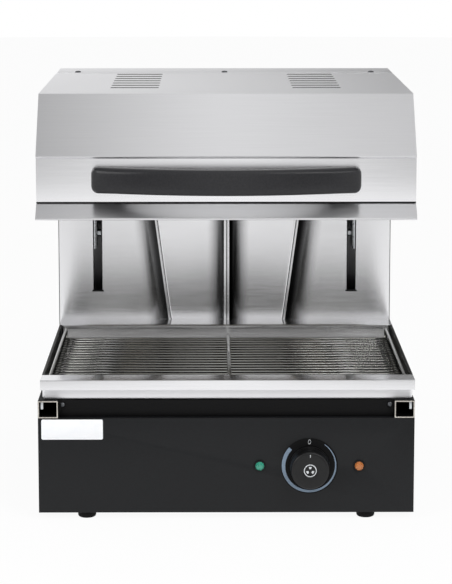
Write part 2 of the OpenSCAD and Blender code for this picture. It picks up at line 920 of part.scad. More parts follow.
// Openings in the head's back that the lift arms pass through
module arm_slots(grow) {
    pair() block([arm_x - grow, head_back_y - 2 * sheet, arm_top_z - arm_upper_h - grow],
                 [arm_x + arm_t + grow, head_back_y + 1, arm_top_z + grow]);
}

module head_back() {
    color("#a6a8aa") difference() {
        block([-half_w + sheet, head_back_y - sheet, head_z + sheet],
              [half_w - sheet, head_back_y, top_z - sheet]);
        arm_slots(fit_gap);
    }
}

// Plan of the bow handle: a shallow outer arc and a deeper finger arc
handle_end = 20;
end_land = 30;
inner_reach = handle_reach - grip_t;
function arc_radius(half_chord, rise) = (half_chord * half_chord + rise * rise) / (2 * rise);
outer_r = arc_radius(handle_l / 2, handle_reach - handle_end);
inner_r = arc_radius(handle_l / 2 - end_land, inner_reach);
module handle_plan() {
    difference() {
        intersection() {
            translate([-handle_l / 2, panel_y - handle_reach]) square([handle_l, handle_reach]);
            translate([0, panel_y - handle_reach + outer_r]) circle(outer_r, $fn = 180);
        }
        translate([0, panel_y - inner_reach + inner_r]) circle(inner_r, $fn = 180);
    }
}

module handle() {
    hole_l = 14;
    color("#1e1f20") difference() {
        intersection() {
            translate([0, 0, handle_z - handle_h / 2]) linear_extrude(handle_h) handle_plan();
            translate([0, 0, handle_z]) push_y(panel_y - handle_reach - 1, panel_y + 1)
                rounded(handle_l, handle_h, 7);
        }
        for (s = [-1, 1]) rod_y(s * handle_screw_x, panel_y - hole_l, panel_y + 1, handle_z, screw_d);
    }
}

module handle_screws() {
    color("#b9bcc0") for (s = [-1, 1]) {
        translate([s * handle_screw_x, panel_y + sheet, handle_z]) rotate([-90, 0, 0])
            pan_screw(1.8 * screw_d, 0.6 * screw_d, screw_d, 2.8 * screw_d);
    }
}

module element_legs(x0, x1, d) {
    for (i = [0:hairpin_n - 1], leg = [0, 1]) {
        rod_x(x0, x1, hairpin_y0 + i * hairpin_pitch + leg * hairpin_w, element_z, d);
    }
}

module reflector() {
    color("#d9dadc") difference() {
        block([-pan_half, pan_front, head_z + sheet], [pan_half, pan_back, pan_top]);
        block([-pan_half + pan_t, pan_front + pan_t, head_z],
              [pan_half - pan_t, pan_back - pan_t, pan_top - pan_t]);
        element_legs(-pan_half - 1, -pan_half + 2, element_d + 1.5 * free_gap);
    }
}

module insulation() {
    color("#d8cfb4") block([-pan_half + blanket_edge, pan_front + blanket_edge, pan_top],
                           [pan_half - blanket_edge, pan_back - blanket_edge, pan_top + blanket_t]);
}

module elements() {
    color("#4a4542") {
        element_legs(-pan_half - element_tail, element_half, element_d);
        for (i = [0:hairpin_n - 1]) {
            translate([element_half, hairpin_y0 + i * hairpin_pitch + hairpin_w / 2, element_z])
                rotate([0, 0, -90]) rotate_extrude(angle = 180)
                    translate([hairpin_w / 2, 0]) circle(d = element_d);
        }
    }
}

module element_supports() {
    t = 1.5;
    short = 12;
    color("#b5b7b9") difference() {
        pair() block([support_x, pan_front + short, element_z - element_d],
                     [support_x + t, pan_back - short, pan_top - pan_t]);
        element_legs(-pan_half, element_half, element_d + free_gap);
    }
}

module element_terminals() {
    bush_l = 6;
    pin_l = 6;
    pin_d = 4;
    color("#e9e4d8") difference() {
        element_legs(-pan_half - bush_l, -pan_half, element_d + 5);
        element_legs(-pan_half - bush_l - 1, -pan_half + 1, element_d + 2 * run_gap);
    }
    color("#c9a24a") element_legs(-pan_half - element_tail - pin_l, -pan_half - element_tail, pin_d);
}

flange_w = 22;
module arm_right() {
    front_low = face_y + 0.5;
    rear = guide_y + block_half;
    low = arm_top_z - arm_upper_h;
    outline = [
        [head_back_y - sheet - arm_t, low], [front_low, low], [front_low, arm_low_z],
        [rear, arm_low_z], [rear, arm_top_z], [head_back_y - sheet - arm_t, arm_top_z]
    ];
    color("#dcdde0") difference() {
        union() {
            side_plate(outline, arm_x, arm_x + arm_t);
            block([arm_x, head_back_y - sheet - arm_t, low],
                  [arm_x + flange_w, head_back_y - sheet, arm_top_z]);
        }
        arm_bolt_holes();
    }
}

module arm_left() {
    mirror([1, 0, 0]) arm_right();
}

block_zs = [lower_block_z, upper_block_z];
bolt_d = 6;
bush_wall = 2;
module arm_bolt_holes() {
    for (z = block_zs) rod_x(arm_x - 1, arm_x + arm_t + 1, guide_y, z + block_h / 2, bolt_d + free_gap);
}

module carriage_blocks() {
    x0 = arm_x + arm_t;
    color("#74777a") pair() for (z = block_zs) difference() {
        block([x0, guide_y - block_half, z], [x0 + block_l, guide_y + block_half, z + block_h]);
        rod_z(guide_x, guide_y, z - 1, z + block_h + 1, rod_d + 2 * bush_wall);
    }
}

module slide_bushes() {
    color("#b98b3e") pair() for (z = block_zs) difference() {
        rod_z(guide_x, guide_y, z, z + block_h, rod_d + 2 * bush_wall);
        rod_z(guide_x, guide_y, z - 1, z + block_h + 1, rod_d + 2 * run_gap);
    }
}

module arm_bolts() {
    head_d = 10;
    head_h = 4.5;
    color("#cfd1d3") pair() for (z = block_zs) {
        translate([arm_x - head_h, guide_y, z + block_h / 2]) rotate([0, 90, 0])
            cylinder(d = head_d, h = head_h, $fn = 6);
        rod_x(arm_x - 1, arm_x + arm_t, guide_y, z + block_h / 2, bolt_d);
    }
}

module carriage_beam() {
    color("#8b8e91") block([-arm_x, beam_y, beam_z], [arm_x, beam_y + beam_t, beam_z + beam_h]);
}

module chain_clamps() {
    color("#9a9da0") pair() chain_jaw(chain_y - sprocket_r, beam_z, beam_z + beam_h);
}

base_body();
control_panel();
bottom_plate();
rubber_feet();
foot_screws();
rail_left();
rail_right();
rail_stops();
front_riser();
riser_screws();
badge_plate();
dial_plate();
lamp_green();
lamp_orange();
lamp_bodies();
regulator_body();
regulator_shaft();
knob();
terminal_block();
cable_gland();
gland_nut();
drip_tray();
grid_bars();
grid_frame();
column_face();
column_shell();
column_cap();
cap_screws();
slot_liners();
guide_rods();
rod_brackets();
axle_brackets();
lifting_chains();
upper_axle();
upper_sprockets();
lower_axle();
lower_sprockets();
counterweight();
weight_hooks();
head_hood();
head_front();
head_lip();
head_ends();
head_back();
handle();
handle_screws();
reflector();
insulation();
elements();
element_supports();
element_terminals();
arm_left();
arm_right();
carriage_blocks();
slide_bushes();
arm_bolts();
carriage_beam();
chain_clamps();
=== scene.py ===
# %% [markdown]
# # A countertop cheese melter
# A heating head slides up and down on a rear column, over a drip tray with a wire grid. The packed
# model already holds every solid at its real place. The steps below load it, set a studio around it,
# mix the finishes, and then build the pieces that a buyer sees: folded steel sheet, a moulded
# handle, a knob, lamps and welded wire.

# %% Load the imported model
import json
from math import cos, pi, radians, sin, sqrt

import bmesh
import bpy
from mathutils import Matrix, Vector


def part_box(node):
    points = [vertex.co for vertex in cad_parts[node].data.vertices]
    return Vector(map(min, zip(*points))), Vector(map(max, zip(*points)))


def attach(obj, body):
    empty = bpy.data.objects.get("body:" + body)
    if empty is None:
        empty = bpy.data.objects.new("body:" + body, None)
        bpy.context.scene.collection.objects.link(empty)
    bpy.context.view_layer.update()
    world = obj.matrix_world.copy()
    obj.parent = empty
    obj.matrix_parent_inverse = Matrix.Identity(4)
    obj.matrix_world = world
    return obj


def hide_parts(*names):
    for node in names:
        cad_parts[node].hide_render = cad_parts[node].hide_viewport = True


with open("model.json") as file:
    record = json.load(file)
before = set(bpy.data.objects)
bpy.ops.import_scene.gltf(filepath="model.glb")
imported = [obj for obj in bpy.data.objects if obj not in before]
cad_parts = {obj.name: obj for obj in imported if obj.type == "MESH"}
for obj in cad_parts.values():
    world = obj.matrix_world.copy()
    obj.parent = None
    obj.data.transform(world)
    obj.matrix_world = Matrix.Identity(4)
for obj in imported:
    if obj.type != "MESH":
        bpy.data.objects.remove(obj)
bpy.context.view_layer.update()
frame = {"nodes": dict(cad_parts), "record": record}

MM = 0.001
SAME_POINT = 0.002 * MM


def at(x, y, z):
    """A point given in millimetres."""
    return Vector((x, y, z)) * MM


# %% [markdown]
# ## Camera
# A long lens from a few metres away keeps the box nearly square, as in a catalogue picture. The
# camera stands a little above the head and looks slightly down, and the lens is shifted a little
# so that the machine sits in the middle of an upright frame.

# %% Camera
LONG_SIDE = 584
FOCAL_PIXELS, SHIFT_PIXELS = 2208, -69.7
CAMERA_PLACE = (-16.6, -2798.5, 740.6)
LOOK_DOWN, TURN_RIGHT = 8.406, 0.36
camera_data = bpy.data.cameras.new("camera")
camera_data.lens = camera_data.sensor_width * FOCAL_PIXELS / LONG_SIDE
camera_data.shift_y = SHIFT_PIXELS / LONG_SIDE
camera = bpy.data.objects.new("camera", camera_data)
camera.location = at(*CAMERA_PLACE)
camera.rotation_euler = (radians(90 - LOOK_DOWN), 0, radians(-TURN_RIGHT))
bpy.context.scene.collection.objects.link(camera)
bpy.context.scene.camera = camera
print("lens in mm:", round(camera_data.lens, 1))

# %% [markdown]
# ## Colours and shader nodes
# Colours are written as the hex codes that a screen shows. Blender works in linear light, so one
# function turns a code into linear numbers. A second one adds a shader node, sets its options and
# sockets, and links whatever comes from another node.

# %% Helpers for materials
def srgb(code):
    parts = [int(code[i:i + 2], 16) / 255 for i in (1, 3, 5)]
    return [p / 12.92 if p <= 0.04045 else ((p + 0.055) / 1.055) ** 2.4 for p in parts] + [1]


def add(tree, kind, sockets=None, **options):
    """A new shader node. A socket's value may be the output of another node."""
    made = tree.nodes.new(kind)
    for name, value in options.items():
        setattr(made, name, value)
    for name, value in (sockets or {}).items():
        if isinstance(value, bpy.types.NodeSocket):
            tree.links.new(value, made.inputs[name])
        else:
            made.inputs[name].default_value = value
    return made


def new_material(name, **sockets):
    """A material with one Principled shader. Returns the material, its tree and that shader."""
    made = bpy.data.materials.new(name)
    made.use_nodes = True
    tree = made.node_tree
    tree.nodes.clear()
    surface = add(tree, "ShaderNodeBsdfPrincipled", {k.replace("_", " "): v for k, v in sockets.items()})
    add(tree, "ShaderNodeOutputMaterial", {"Surface": surface.outputs[0]})
    return made, tree, surface


def grain(tree, size, low=0.0, high=1.0, detail=3.0):
    """Noise between low and high, whose cells are size = (x, y, z) millimetres large on the piece."""
    place = add(tree, "ShaderNodeTexCoord").outputs["Object"]
    scaled = add(tree, "ShaderNodeMapping", {"Vector": place, "Scale": [1 / (s * MM) for s in size]})
    noise = add(tree, "ShaderNodeTexNoise", {"Vector": scaled.outputs[0], "Scale": 1.0, "Detail": detail})
    limits = {"Value": noise.outputs["Fac"], "From Min": 0.3, "From Max": 0.7, "To Min": low, "To Max": high}
    return add(tree, "ShaderNodeMapRange", limits).outputs["Result"]


def mottle(tree, surface, size, colours, shine, depth=0.0):
    """Uneven colour between two hex codes, roughness between two numbers and, with a depth in
    millimetres, relief. All of them follow one noise, as they do on a real surface."""
    value = grain(tree, size)
    tint = add(tree, "ShaderNodeMix", {"Factor": value, "A": srgb(colours[0]), "B": srgb(colours[1])},
               data_type="RGBA")
    tree.links.new(tint.outputs["Result"], surface.inputs["Base Color"])
    tree.links.new(grain(tree, size, *shine), surface.inputs["Roughness"])
    if depth:
        relief = add(tree, "ShaderNodeBump", {"Height": value, "Distance": depth * MM, "Strength": 1.0})
        tree.links.new(relief.outputs[0], surface.inputs["Normal"])

# %% [markdown]
# ## Finishes: stainless steel
# Such a head and tray are usually stainless sheet with a number 4 finish: a belt draws fine parallel
# scratches along X. This steel is anisotropic: it mirrors sharply along the scratches and smears what
# it mirrors across them, which gives flat sheet its soft upright bands. So the shader's tangent points
# across the scratches. They are drawn coarser than real ones, which are too fine for a picture. The
# side plates are brushed along Y, and the column's face is bright. Two finishes are not the colour of
# steel: the drip well is painted dark as a painted reflection, and the dark edge steel is painted shade.

# %% Brushed and bright stainless steel
def brushed_steel(name, colours, scratch, rough, across, stretch=0.85):
    """Stainless steel, scratched by a belt. scratch is its size in millimetres along X, Y and Z,
    and across is a direction on the sheet that crosses the scratches."""
    made, tree, surface = new_material(name, Metallic=1.0, Anisotropic=stretch)
    mottle(tree, surface, scratch, colours, (rough - 0.02, rough + 0.02), 0.002)
    way = add(tree, "ShaderNodeCombineXYZ", {"X": across[0], "Y": across[1], "Z": across[2]})
    tree.links.new(way.outputs[0], surface.inputs["Tangent"])
    return made


steel_x = brushed_steel("stainless_no4_along_x", ("#dfdfe1", "#e3e3e5"), (70, 0.9, 0.9), 0.3, (0, 1, 1))
panel_steel = brushed_steel("stainless_polished_panel", ("#f2f2f4", "#f7f7f9"), (70, 0.9, 0.9), 0.2,
                            (0, 1, 1))
steel_y = brushed_steel("stainless_no4_along_y", ("#bcbcbe", "#c8c8ca"), (1.3, 36, 1.3), 0.36, (0, 0, 1))
steel_z = brushed_steel("stainless_no4_along_z", ("#bcbcbe", "#c8c8ca"), (1.3, 1.3, 36), 0.36, (1, 1, 0))
tray_steel = brushed_steel("stainless_satin_tray", ("#eeeef0", "#f4f4f6"), (60, 2, 2), 0.2, (0, 1, 1))
# Painted reflection: the inside of the drip well is painted dark, in place of what it mirrors at a low
# angle.
well_painted_reflection = brushed_steel("stainless_drip_well_painted_reflection", ("#222221", "#2c2c2b"), (36, 1.3, 1.3), 0.4, (0, 1, 1))
outer_steel = brushed_steel("stainless_dull_outside", ("#f2f2f4", "#f8f8fa"), (36, 1.3, 1.3), 0.6, (0, 1, 1),
                            0.3)

pan_steel, tree, surface = new_material("stainless_heat_tinted", Metallic=1.0)
mottle(tree, surface, (45, 30, 20), ("#a89c84", "#c6c4be"), (0.2, 0.34))
cut_steel, tree, surface = new_material("stainless_cut_edge", Metallic=1.0)
mottle(tree, surface, (2, 2, 2), ("#b8b2aa", "#dedad2"), (0.26, 0.34))
# Painted shade: a dark steel for slot walls, the seam under the handle panel and the face's side strips.
painted_shade_steel, tree, surface = new_material("steel_painted_shade", Metallic=1.0)
mottle(tree, surface, (1, 1, 1), ("#2a2a2b", "#3a3a3b"), (0.5, 0.65))
print("sheet finishes:", [m.name for m in bpy.data.materials])

# %% [markdown]
# ## Finishes: wire, plating and castings
# The rack is drawn wire with a bright plating. The lift arms and most screws that don't show are zinc
# plated, with a slightly uneven shine. Turned and milled parts keep fine tool marks.

# %% Metals of the small parts
def plain_metal(name, colours, shine, cell, depth=0.0):
    """Metal with mottled colour and shine. cell is the size of a patch in millimetres."""
    made, tree, surface = new_material(name, Metallic=1.0)
    mottle(tree, surface, cell, colours, shine, depth)
    return made


chrome_wire = plain_metal("chrome_plated_wire", ("#a8a8a4", "#b4b4b0"), (0.1, 0.13), (60, 20, 20))
zinc = plain_metal("zinc_plated_steel", ("#c6cacd", "#dee1e3"), (0.24, 0.36), (4, 4, 4), 0.01)
dark_screw = plain_metal("blackened_screw_steel", ("#54565a", "#77797c"), (0.3, 0.42), (2, 2, 2))
machined = plain_metal("machined_steel", ("#84878a", "#a4a7aa"), (0.25, 0.38), (1.2, 8, 1.2), 0.01)
oiled_steel = plain_metal("oiled_chain_steel", ("#3a3b3d", "#5a5c5e"), (0.3, 0.5), (3, 3, 3), 0.02)
cast_iron = plain_metal("cast_iron", ("#38393b", "#505254"), (0.6, 0.75), (1.5, 1.5, 1.5), 0.15)
bronze = plain_metal("sintered_bronze", ("#8f6f38", "#b8924e"), (0.4, 0.55), (1.2, 1.2, 1.2), 0.02)
sheath = plain_metal("oxidised_element_sheath", ("#3a322e", "#5a4c44"), (0.5, 0.65), (6, 3, 3), 0.03)

# %% [markdown]
# ## Finishes: paint, plastic, rubber, ceramic and wool
# The base is powder coated: melted powder leaves a fine orange peel and a satin shine. The blacks
# have a specular level below the usual one, which is a choice that keeps them deep under a white
# surround. Rubber feet are dull, and the blanket over the reflector is matted fibre.

# %% Materials that aren't metal
def coat(name, colours, shine, cell, depth, **sockets):
    """A material without metal, with mottled colour, uneven shine and fine relief."""
    made, tree, surface = new_material(name, **sockets)
    mottle(tree, surface, cell, colours, shine, depth)
    return made


powder_black = coat("black_powder_coat", ("#141517", "#191a1c"), (0.36, 0.46), (1.2, 1.2, 1.2), 0.01,
                    Specular_IOR_Level=0.25)
rail_black = coat("black_baked_paint", ("#060607", "#0a0a0b"), (0.45, 0.6), (4, 4, 4), 0.02,
                  Specular_IOR_Level=0.15)
phenolic = coat("moulded_phenolic", ("#2a2a2c", "#303032"), (0.22, 0.26), (2, 2, 2), 0.003,
                Specular_IOR_Level=0.2)
knob_black = coat("moulded_knob_plastic", ("#0c0c0d", "#121213"), (0.3, 0.38), (4, 4, 4), 0.01,
                  Specular_IOR_Level=0.35)
matt_plastic = coat("black_polyamide", ("#0a0a0b", "#101011"), (0.45, 0.6), (3, 3, 3), 0.02,
                    Specular_IOR_Level=0.3)
dial_black = coat("matt_dial_print", ("#060607", "#0a0a0b"), (0.55, 0.65), (2, 2, 2), 0.005,
                  Specular_IOR_Level=0.15)
rubber = coat("foot_rubber", ("#060606", "#0b0b0b"), (0.7, 0.85), (2, 2, 2), 0.05,
              Specular_IOR_Level=0.2)
ink_white = coat("screen_print_white", ("#c8ccd0", "#dde0e2"), (0.5, 0.6), (1, 1, 1), 0.005)
ink_grey = coat("screen_print_grey", ("#74869a", "#8496a9"), (0.5, 0.6), (1, 1, 1), 0.005)
badge_white = coat("white_vinyl_label", ("#f8fafd", "#fcfdff"), (0.3, 0.36), (8, 8, 8), 0.004)
pale_plastic = coat("pale_thermoset", ("#d8d2c4", "#e6e1d4"), (0.45, 0.55), (4, 4, 4), 0.02)
ceramic = coat("steatite_ceramic", ("#dcd6c8", "#ece7da"), (0.5, 0.65), (3, 3, 3), 0.03)
wool = coat("ceramic_fibre_blanket", ("#c9bfa4", "#e2dac4"), (0.9, 1.0), (6, 3, 3), 0.8, Sheen_Weight=0.3)
print("materials:", len(bpy.data.materials))

# %% [markdown]
# ## Finish: pilot lamp lenses
# The lenses are clear plastic, tinted through. No light stands behind them here, so a little emission
# is added to a clear, refracting shader, in place of the light that a real lens gathers.

# %% Lamp lens plastic
def lens_plastic(name, dark, code):
    """Clear tinted plastic that glows a little. dark is its colour between the facets."""
    made, tree, surface = new_material(name, IOR=1.58, Transmission_Weight=0.35,
                                       Emission_Strength=0.12, Emission_Color=srgb(code))
    mottle(tree, surface, (0.8, 0.8, 0.8), (dark, code), (0.08, 0.16))
    return made


green_glass = lens_plastic("green_polycarbonate", "#054434", "#4cc8a8")
orange_glass = lens_plastic("orange_polycarbonate", "#7a2404", "#f09a54")

# %% [markdown]
# ## Tools for shapes
# Every new piece starts in bmesh, Blender's mesh editor for scripts, and ends in `piece()`, which
# merges doubles, turns faces outwards, marks sharp edges and lets it ride on its body. Folded sheet
# is a line of points drawn along X. Turned parts are a profile spun round an axis. Wire is a ring
# that runs straight or turns about a point. Many solids only need their edges eased, so a copy of
# the solid's mesh is merged and bevelled.

# %% Bodies, slots and the last step of each piece
BODY = {node: body for body, nodes in frame["record"]["behaviour"]["bodies"].items() for node in nodes}


def piece(bm, name, materials, *nodes, body=None, sharp=35):
    """Makes a piece of a bmesh. It stands for the CAD nodes, or rides on a body."""
    bmesh.ops.remove_doubles(bm, verts=bm.verts, dist=SAME_POINT)
    bmesh.ops.recalc_face_normals(bm, faces=bm.faces)
    mesh = bpy.data.meshes.new(name)
    bm.to_mesh(mesh)
    bm.free()
    for material in materials if isinstance(materials, list) else [materials]:
        mesh.materials.append(material)
    mesh.shade_smooth()
    mesh.set_sharp_from_angle(angle=radians(sharp))
    made = bpy.data.objects.new(name, mesh)
    bpy.context.scene.collection.objects.link(made)
    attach(made, body or BODY[nodes[0]])
    if nodes:
        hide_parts(*nodes)
    print(name, "faces:", len(mesh.polygons))
    return made


# %% Blocks, turned parts and eased copies
FRONT = Matrix.Rotation(radians(90), 4, "X")


def block(bm, low, high):
    """A box between two corners in millimetres. Returns its vertices."""
    low, high = at(*low), at(*high)
    place = Matrix.LocRotScale((low + high) / 2, None, high - low)
    return bmesh.ops.create_cube(bm, size=1, matrix=place)["verts"]


def bevel(bm, edges, width, segments=3):
    """Rounds edges by a width in millimetres."""
    bmesh.ops.bevel(bm, geom=edges, offset=width * MM, offset_type="OFFSET", segments=segments,
                    profile=0.5, affect="EDGES", clamp_overlap=True, material=-1)


def edges_of(verts):
    return list({edge for vert in verts for edge in vert.link_edges})


def pull(bm, edges, move):
    """Draws edges out by a move in millimetres. Returns the edges at the far end."""
    drawn = bmesh.ops.extrude_edge_only(bm, edges=edges)["geom"]
    far = [v for v in drawn if isinstance(v, bmesh.types.BMVert)]
    bmesh.ops.translate(bm, verts=far, vec=at(*move))
    return [e for e in drawn if isinstance(e, bmesh.types.BMEdge) and all(v in far for v in e.verts)]


def turned(bm, profile, place, steps=48):
    """Spins (radius, height) points in millimetres round +Z, then puts them at place."""
    old = set(bm.verts)
    line = [bm.verts.new(at(radius, 0, height)) for radius, height in profile]
    for pair in zip(line, line[1:]):
        bm.edges.new(pair)
    bmesh.ops.spin(bm, geom=line + edges_of(line), cent=(0, 0, 0), axis=(0, 0, 1), angle=2 * pi,
                   steps=steps, use_merge=True)
    bmesh.ops.remove_doubles(bm, verts=[v for v in bm.verts if v not in old], dist=SAME_POINT / 2)
    made = [v for v in bm.verts if v not in old]
    bmesh.ops.transform(bm, matrix=place, verts=made)
    return made


def merged_copy(node):
    """The mesh of a CAD node with its doubles merged and flat triangles joined."""
    bm = bmesh.new()
    bm.from_mesh(frame["nodes"][node].data)
    bmesh.ops.remove_doubles(bm, verts=bm.verts, dist=SAME_POINT)
    bmesh.ops.dissolve_limit(bm, angle_limit=radians(0.5), verts=bm.verts, edges=bm.edges)
    return bm


def ease(bm, width):
    """Rounds all sharp edges by a width in millimetres."""
    sharp = [e for e in bm.edges if e.is_manifold and e.calc_face_angle() > radians(40)]
    bevel(bm, sharp, width, 2)
    return bm


def eased_pieces(rows):
    """Pieces that are their solid with eased edges. A row is a node, a name, a finish and a width."""
    for node, name, finish, width in rows:
        piece(ease(merged_copy(node), width), name, finish, node)


# %% Folded sheet and holes
def folded(bm, path, radii, thickness, x0, x1):
    """Sheet folded along (y, z) points, with an outer bend radius at each inner point. The sheet
    lies to the left of the path when seen from +X."""
    line = [bm.verts.new(at(x0, y, z)) for y, z in path]
    ends = [bm.edges.new(pair) for pair in zip(line, line[1:])]
    pull(bm, ends, (x1 - x0, 0, 0))
    for i, radius in enumerate(radii, 1):
        before, here, after = (Vector(p) for p in path[i - 1:i + 2])
        half_turn = (here - before).angle(after - here) / 2
        bend = [e for e in line[i].link_edges if e not in ends]
        bevel(bm, bend, radius * sin(half_turn) / cos(half_turn), 5)
    bmesh.ops.reverse_faces(bm, faces=bm.faces)
    bmesh.ops.solidify(bm, geom=list(bm.faces), thickness=thickness * MM)
    return bm


def cut(bm, tool, crossed=False):
    """Cuts one bmesh out of another with an exact Boolean. Crossed is for a tool of bars that cross."""
    pair = []
    for shape in (bm, tool):
        bmesh.ops.recalc_face_normals(shape, faces=shape.faces)
        mesh = bpy.data.meshes.new("cutting")
        shape.to_mesh(mesh)
        shape.free()
        pair.append(bpy.data.objects.new("cutting", mesh))
        bpy.context.scene.collection.objects.link(pair[-1])
    hole = pair[0].modifiers.new("hole", "BOOLEAN")
    hole.object, hole.operation, hole.solver = pair[1], "DIFFERENCE", "EXACT"
    hole.use_self = crossed
    result = bmesh.new()
    result.from_object(pair[0], bpy.context.evaluated_depsgraph_get())
    for used in pair:
        bpy.data.meshes.remove(used.data)
    return result

# %% [markdown]
# ## Studio
# A pale sweep and a white surround, as for a catalogue. A box of sheet steel is mostly a mirror, so
# what it reflects matters more than what lights it. Three large cards that only reflections see stand
# above, in front and behind, 1 to 2 m from it, as the walls of a studio would. The first two are
# brightest at their middle and fall off evenly to the sides, and the third is brighter on the left,
# which gives flat steel a soft sheen. The pale floor is mirrored as it is. Two large lamps and the
# surround light paint at a plain level. The cards aren't part of the machine.

# %% Surround and floor
def only_some_rays(tree, seen, others):
    """Mixes two shaders: one for what the camera sees or a metal mirrors, one for light itself."""
    path = add(tree, "ShaderNodeLightPath").outputs
    direct = add(tree, "ShaderNodeMath", {0: path["Is Camera Ray"], 1: path["Is Glossy Ray"]},
                 operation="MAXIMUM")
    shown = add(tree, "ShaderNodeMath", {0: direct.outputs[0], 1: path["Is Transmission Ray"]},
                operation="MAXIMUM")
    return add(tree, "ShaderNodeMixShader", {0: shown.outputs[0], 1: others, 2: seen}).outputs[0]


world = bpy.data.worlds.new("surround")
world.use_nodes = True
world.node_tree.nodes.clear()
white = add(world.node_tree, "ShaderNodeBackground", {"Color": srgb("#ffffff"), "Strength": 1.0}).outputs[0]
fill = add(world.node_tree, "ShaderNodeBackground", {"Color": srgb("#ffffff"), "Strength": 0.55}).outputs[0]
add(world.node_tree, "ShaderNodeOutputWorld", {"Surface": only_some_rays(world.node_tree, white, fill)})
bpy.context.scene.world = world
bpy.context.scene.view_settings.view_transform = "Standard"

floor_paint = bpy.data.materials.new("studio_floor")
floor_paint.use_nodes = True
tree = floor_paint.node_tree
tree.nodes.clear()
matt = add(tree, "ShaderNodeBsdfDiffuse", {"Color": srgb("#f4f4f4")}).outputs[0]
glow = add(tree, "ShaderNodeEmission", {"Color": srgb("#ffffff"), "Strength": 1.0}).outputs[0]
veil = add(tree, "ShaderNodeMixShader", {0: 0.94, 1: matt, 2: glow}).outputs[0]
add(tree, "ShaderNodeOutputMaterial", {"Surface": only_some_rays(tree, veil, matt)})

floor_shape = bmesh.new()
bmesh.ops.create_circle(floor_shape, cap_ends=True, radius=9, segments=64)
floor_mesh = bpy.data.meshes.new("floor")
floor_shape.to_mesh(floor_mesh)
floor_mesh.materials.append(floor_paint)
floor = bpy.data.objects.new("floor", floor_mesh)
bpy.context.scene.collection.objects.link(floor)
print("floor radius in m:", 9)


# %% Reflection cards and lamps
def card(name, low, high, stops):
    """A card that only reflections see. stops are (share of its width, colour) along X."""
    paint = bpy.data.materials.new(name)
    paint.use_nodes = True
    tree = paint.node_tree
    tree.nodes.clear()
    place = add(tree, "ShaderNodeTexCoord").outputs["Object"]
    across = add(tree, "ShaderNodeSeparateXYZ", {0: place}).outputs["X"]
    share = add(tree, "ShaderNodeMapRange", {"Value": across, "From Min": low[0] * MM,
                                             "From Max": high[0] * MM}).outputs[0]
    ramp = add(tree, "ShaderNodeValToRGB", {0: share})
    while len(ramp.color_ramp.elements) < len(stops):
        ramp.color_ramp.elements.new(0.5)
    for stop, (where, colour) in zip(ramp.color_ramp.elements, stops):
        stop.position = where
        stop.color = srgb(colour)
    light = add(tree, "ShaderNodeEmission", {"Color": ramp.outputs[0], "Strength": 1.0}).outputs[0]
    add(tree, "ShaderNodeOutputMaterial", {"Surface": light})
    bm = bmesh.new()
    block(bm, low, high)
    mesh = bpy.data.meshes.new(name)
    bm.to_mesh(mesh)
    bm.free()
    mesh.materials.append(paint)
    made = bpy.data.objects.new(name, mesh)
    made.visible_camera = made.visible_diffuse = made.visible_shadow = False
    bpy.context.scene.collection.objects.link(made)


DIM, MID, BRIGHT = "#202020", "#808080", "#fcfcfc"
card("card_above", (-1800, -1800, 1500), (1800, 900, 1504), [(0.3, DIM), (0.5, BRIGHT), (0.7, DIM)])
card("card_front", (-1500, -2100, 0), (1500, -2096, 1490), [(0.2, DIM), (0.5, BRIGHT), (0.8, DIM)])
card("card_behind", (-900, 1500, 300), (900, 1504, 1500), [(0.3, BRIGHT), (0.7, MID)])


def lamp(name, place, size, power):
    """A square softbox aimed at the middle of the machine."""
    data = bpy.data.lights.new(name, "AREA")
    data.size = size * MM
    data.energy = power
    made = bpy.data.objects.new(name, data)
    made.location = at(*place)
    made.rotation_euler = (at(0, 0, 250) - at(*place)).to_track_quat("-Z", "Y").to_euler()
    bpy.context.scene.collection.objects.link(made)


lamp("softbox_key", (900, -1500, 1700), 900, 20)
lamp("softbox_fill", (-1300, -1300, 1200), 900, 10)
print("lamps:", len(bpy.data.lights))

# %% [markdown]
# ## Planes of the machine
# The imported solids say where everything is, so the few planes that the new pieces share are read
# from their boxes. What a box can't tell, such as a bend in the middle of a sheet, is named here.

# %% Shared planes, in millimetres
def span(node):
    """Low and high corner of a solid."""
    return [[v / MM for v in corner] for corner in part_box(node)]


(_, face_y, _), (half_w, _, top_z) = span("column_cap")
deck_z = span("base_body")[1][2]
(_, hem_y, hem_z), (_, head_back_y, _) = span("head_hood")
(_, lip_y, head_z), (_, _, lip_z) = span("head_lip")
rail_top_z = span("rail_left")[1][2]
front_y = span("control_panel")[0][1]
panel_y, panel_low_z = span("head_front")[0][1:]
(pan_low_x, pan_front, _), (_, pan_back, _) = span("reflector")
sheet = 1.2
print("head from", round(head_z), "to", round(top_z), "and its panel at", round(panel_y))

# %% [markdown]
# ## The hood
# One sheet makes the top, the slope and a narrow hem that turns under to stiffen the edge. A press
# brake leaves bends of about the sheet's own thickness, so each fold gets an outer radius. It is
# drawn as one folded line and given its thickness afterwards. The two rows of vents are punched, so
# they are cut out of the sheet with a Boolean. The walls of the slots get painted shade, a dark finish
# of their own, so that they read as openings in a small picture.

# %% Hood
slope_top_y, slope_low_z = hem_y + 57, hem_z + 2.4
vent_x, vent_l, vent_w, vent_rows = 112.5, 61, 5, 7
vent_front_y, vent_back_y = slope_top_y + 81, head_back_y - 24


def vent_cutters():
    """Round-ended bars that stand through the top sheet."""
    bm = bmesh.new()
    for side in (-1, 1):
        for row in range(vent_rows):
            y = vent_front_y + row * (vent_back_y - vent_front_y) / (vent_rows - 1)
            middle = side * vent_x
            corners = block(bm, (middle - vent_l / 2, y - vent_w / 2, top_z - 5),
                            (middle + vent_l / 2, y + vent_w / 2, top_z + 3))
            upright = [e for e in edges_of(corners) if abs((e.verts[0].co - e.verts[1].co).z) > 4 * MM]
            bevel(bm, upright, vent_w / 2 - 0.05, 5)
    return bm


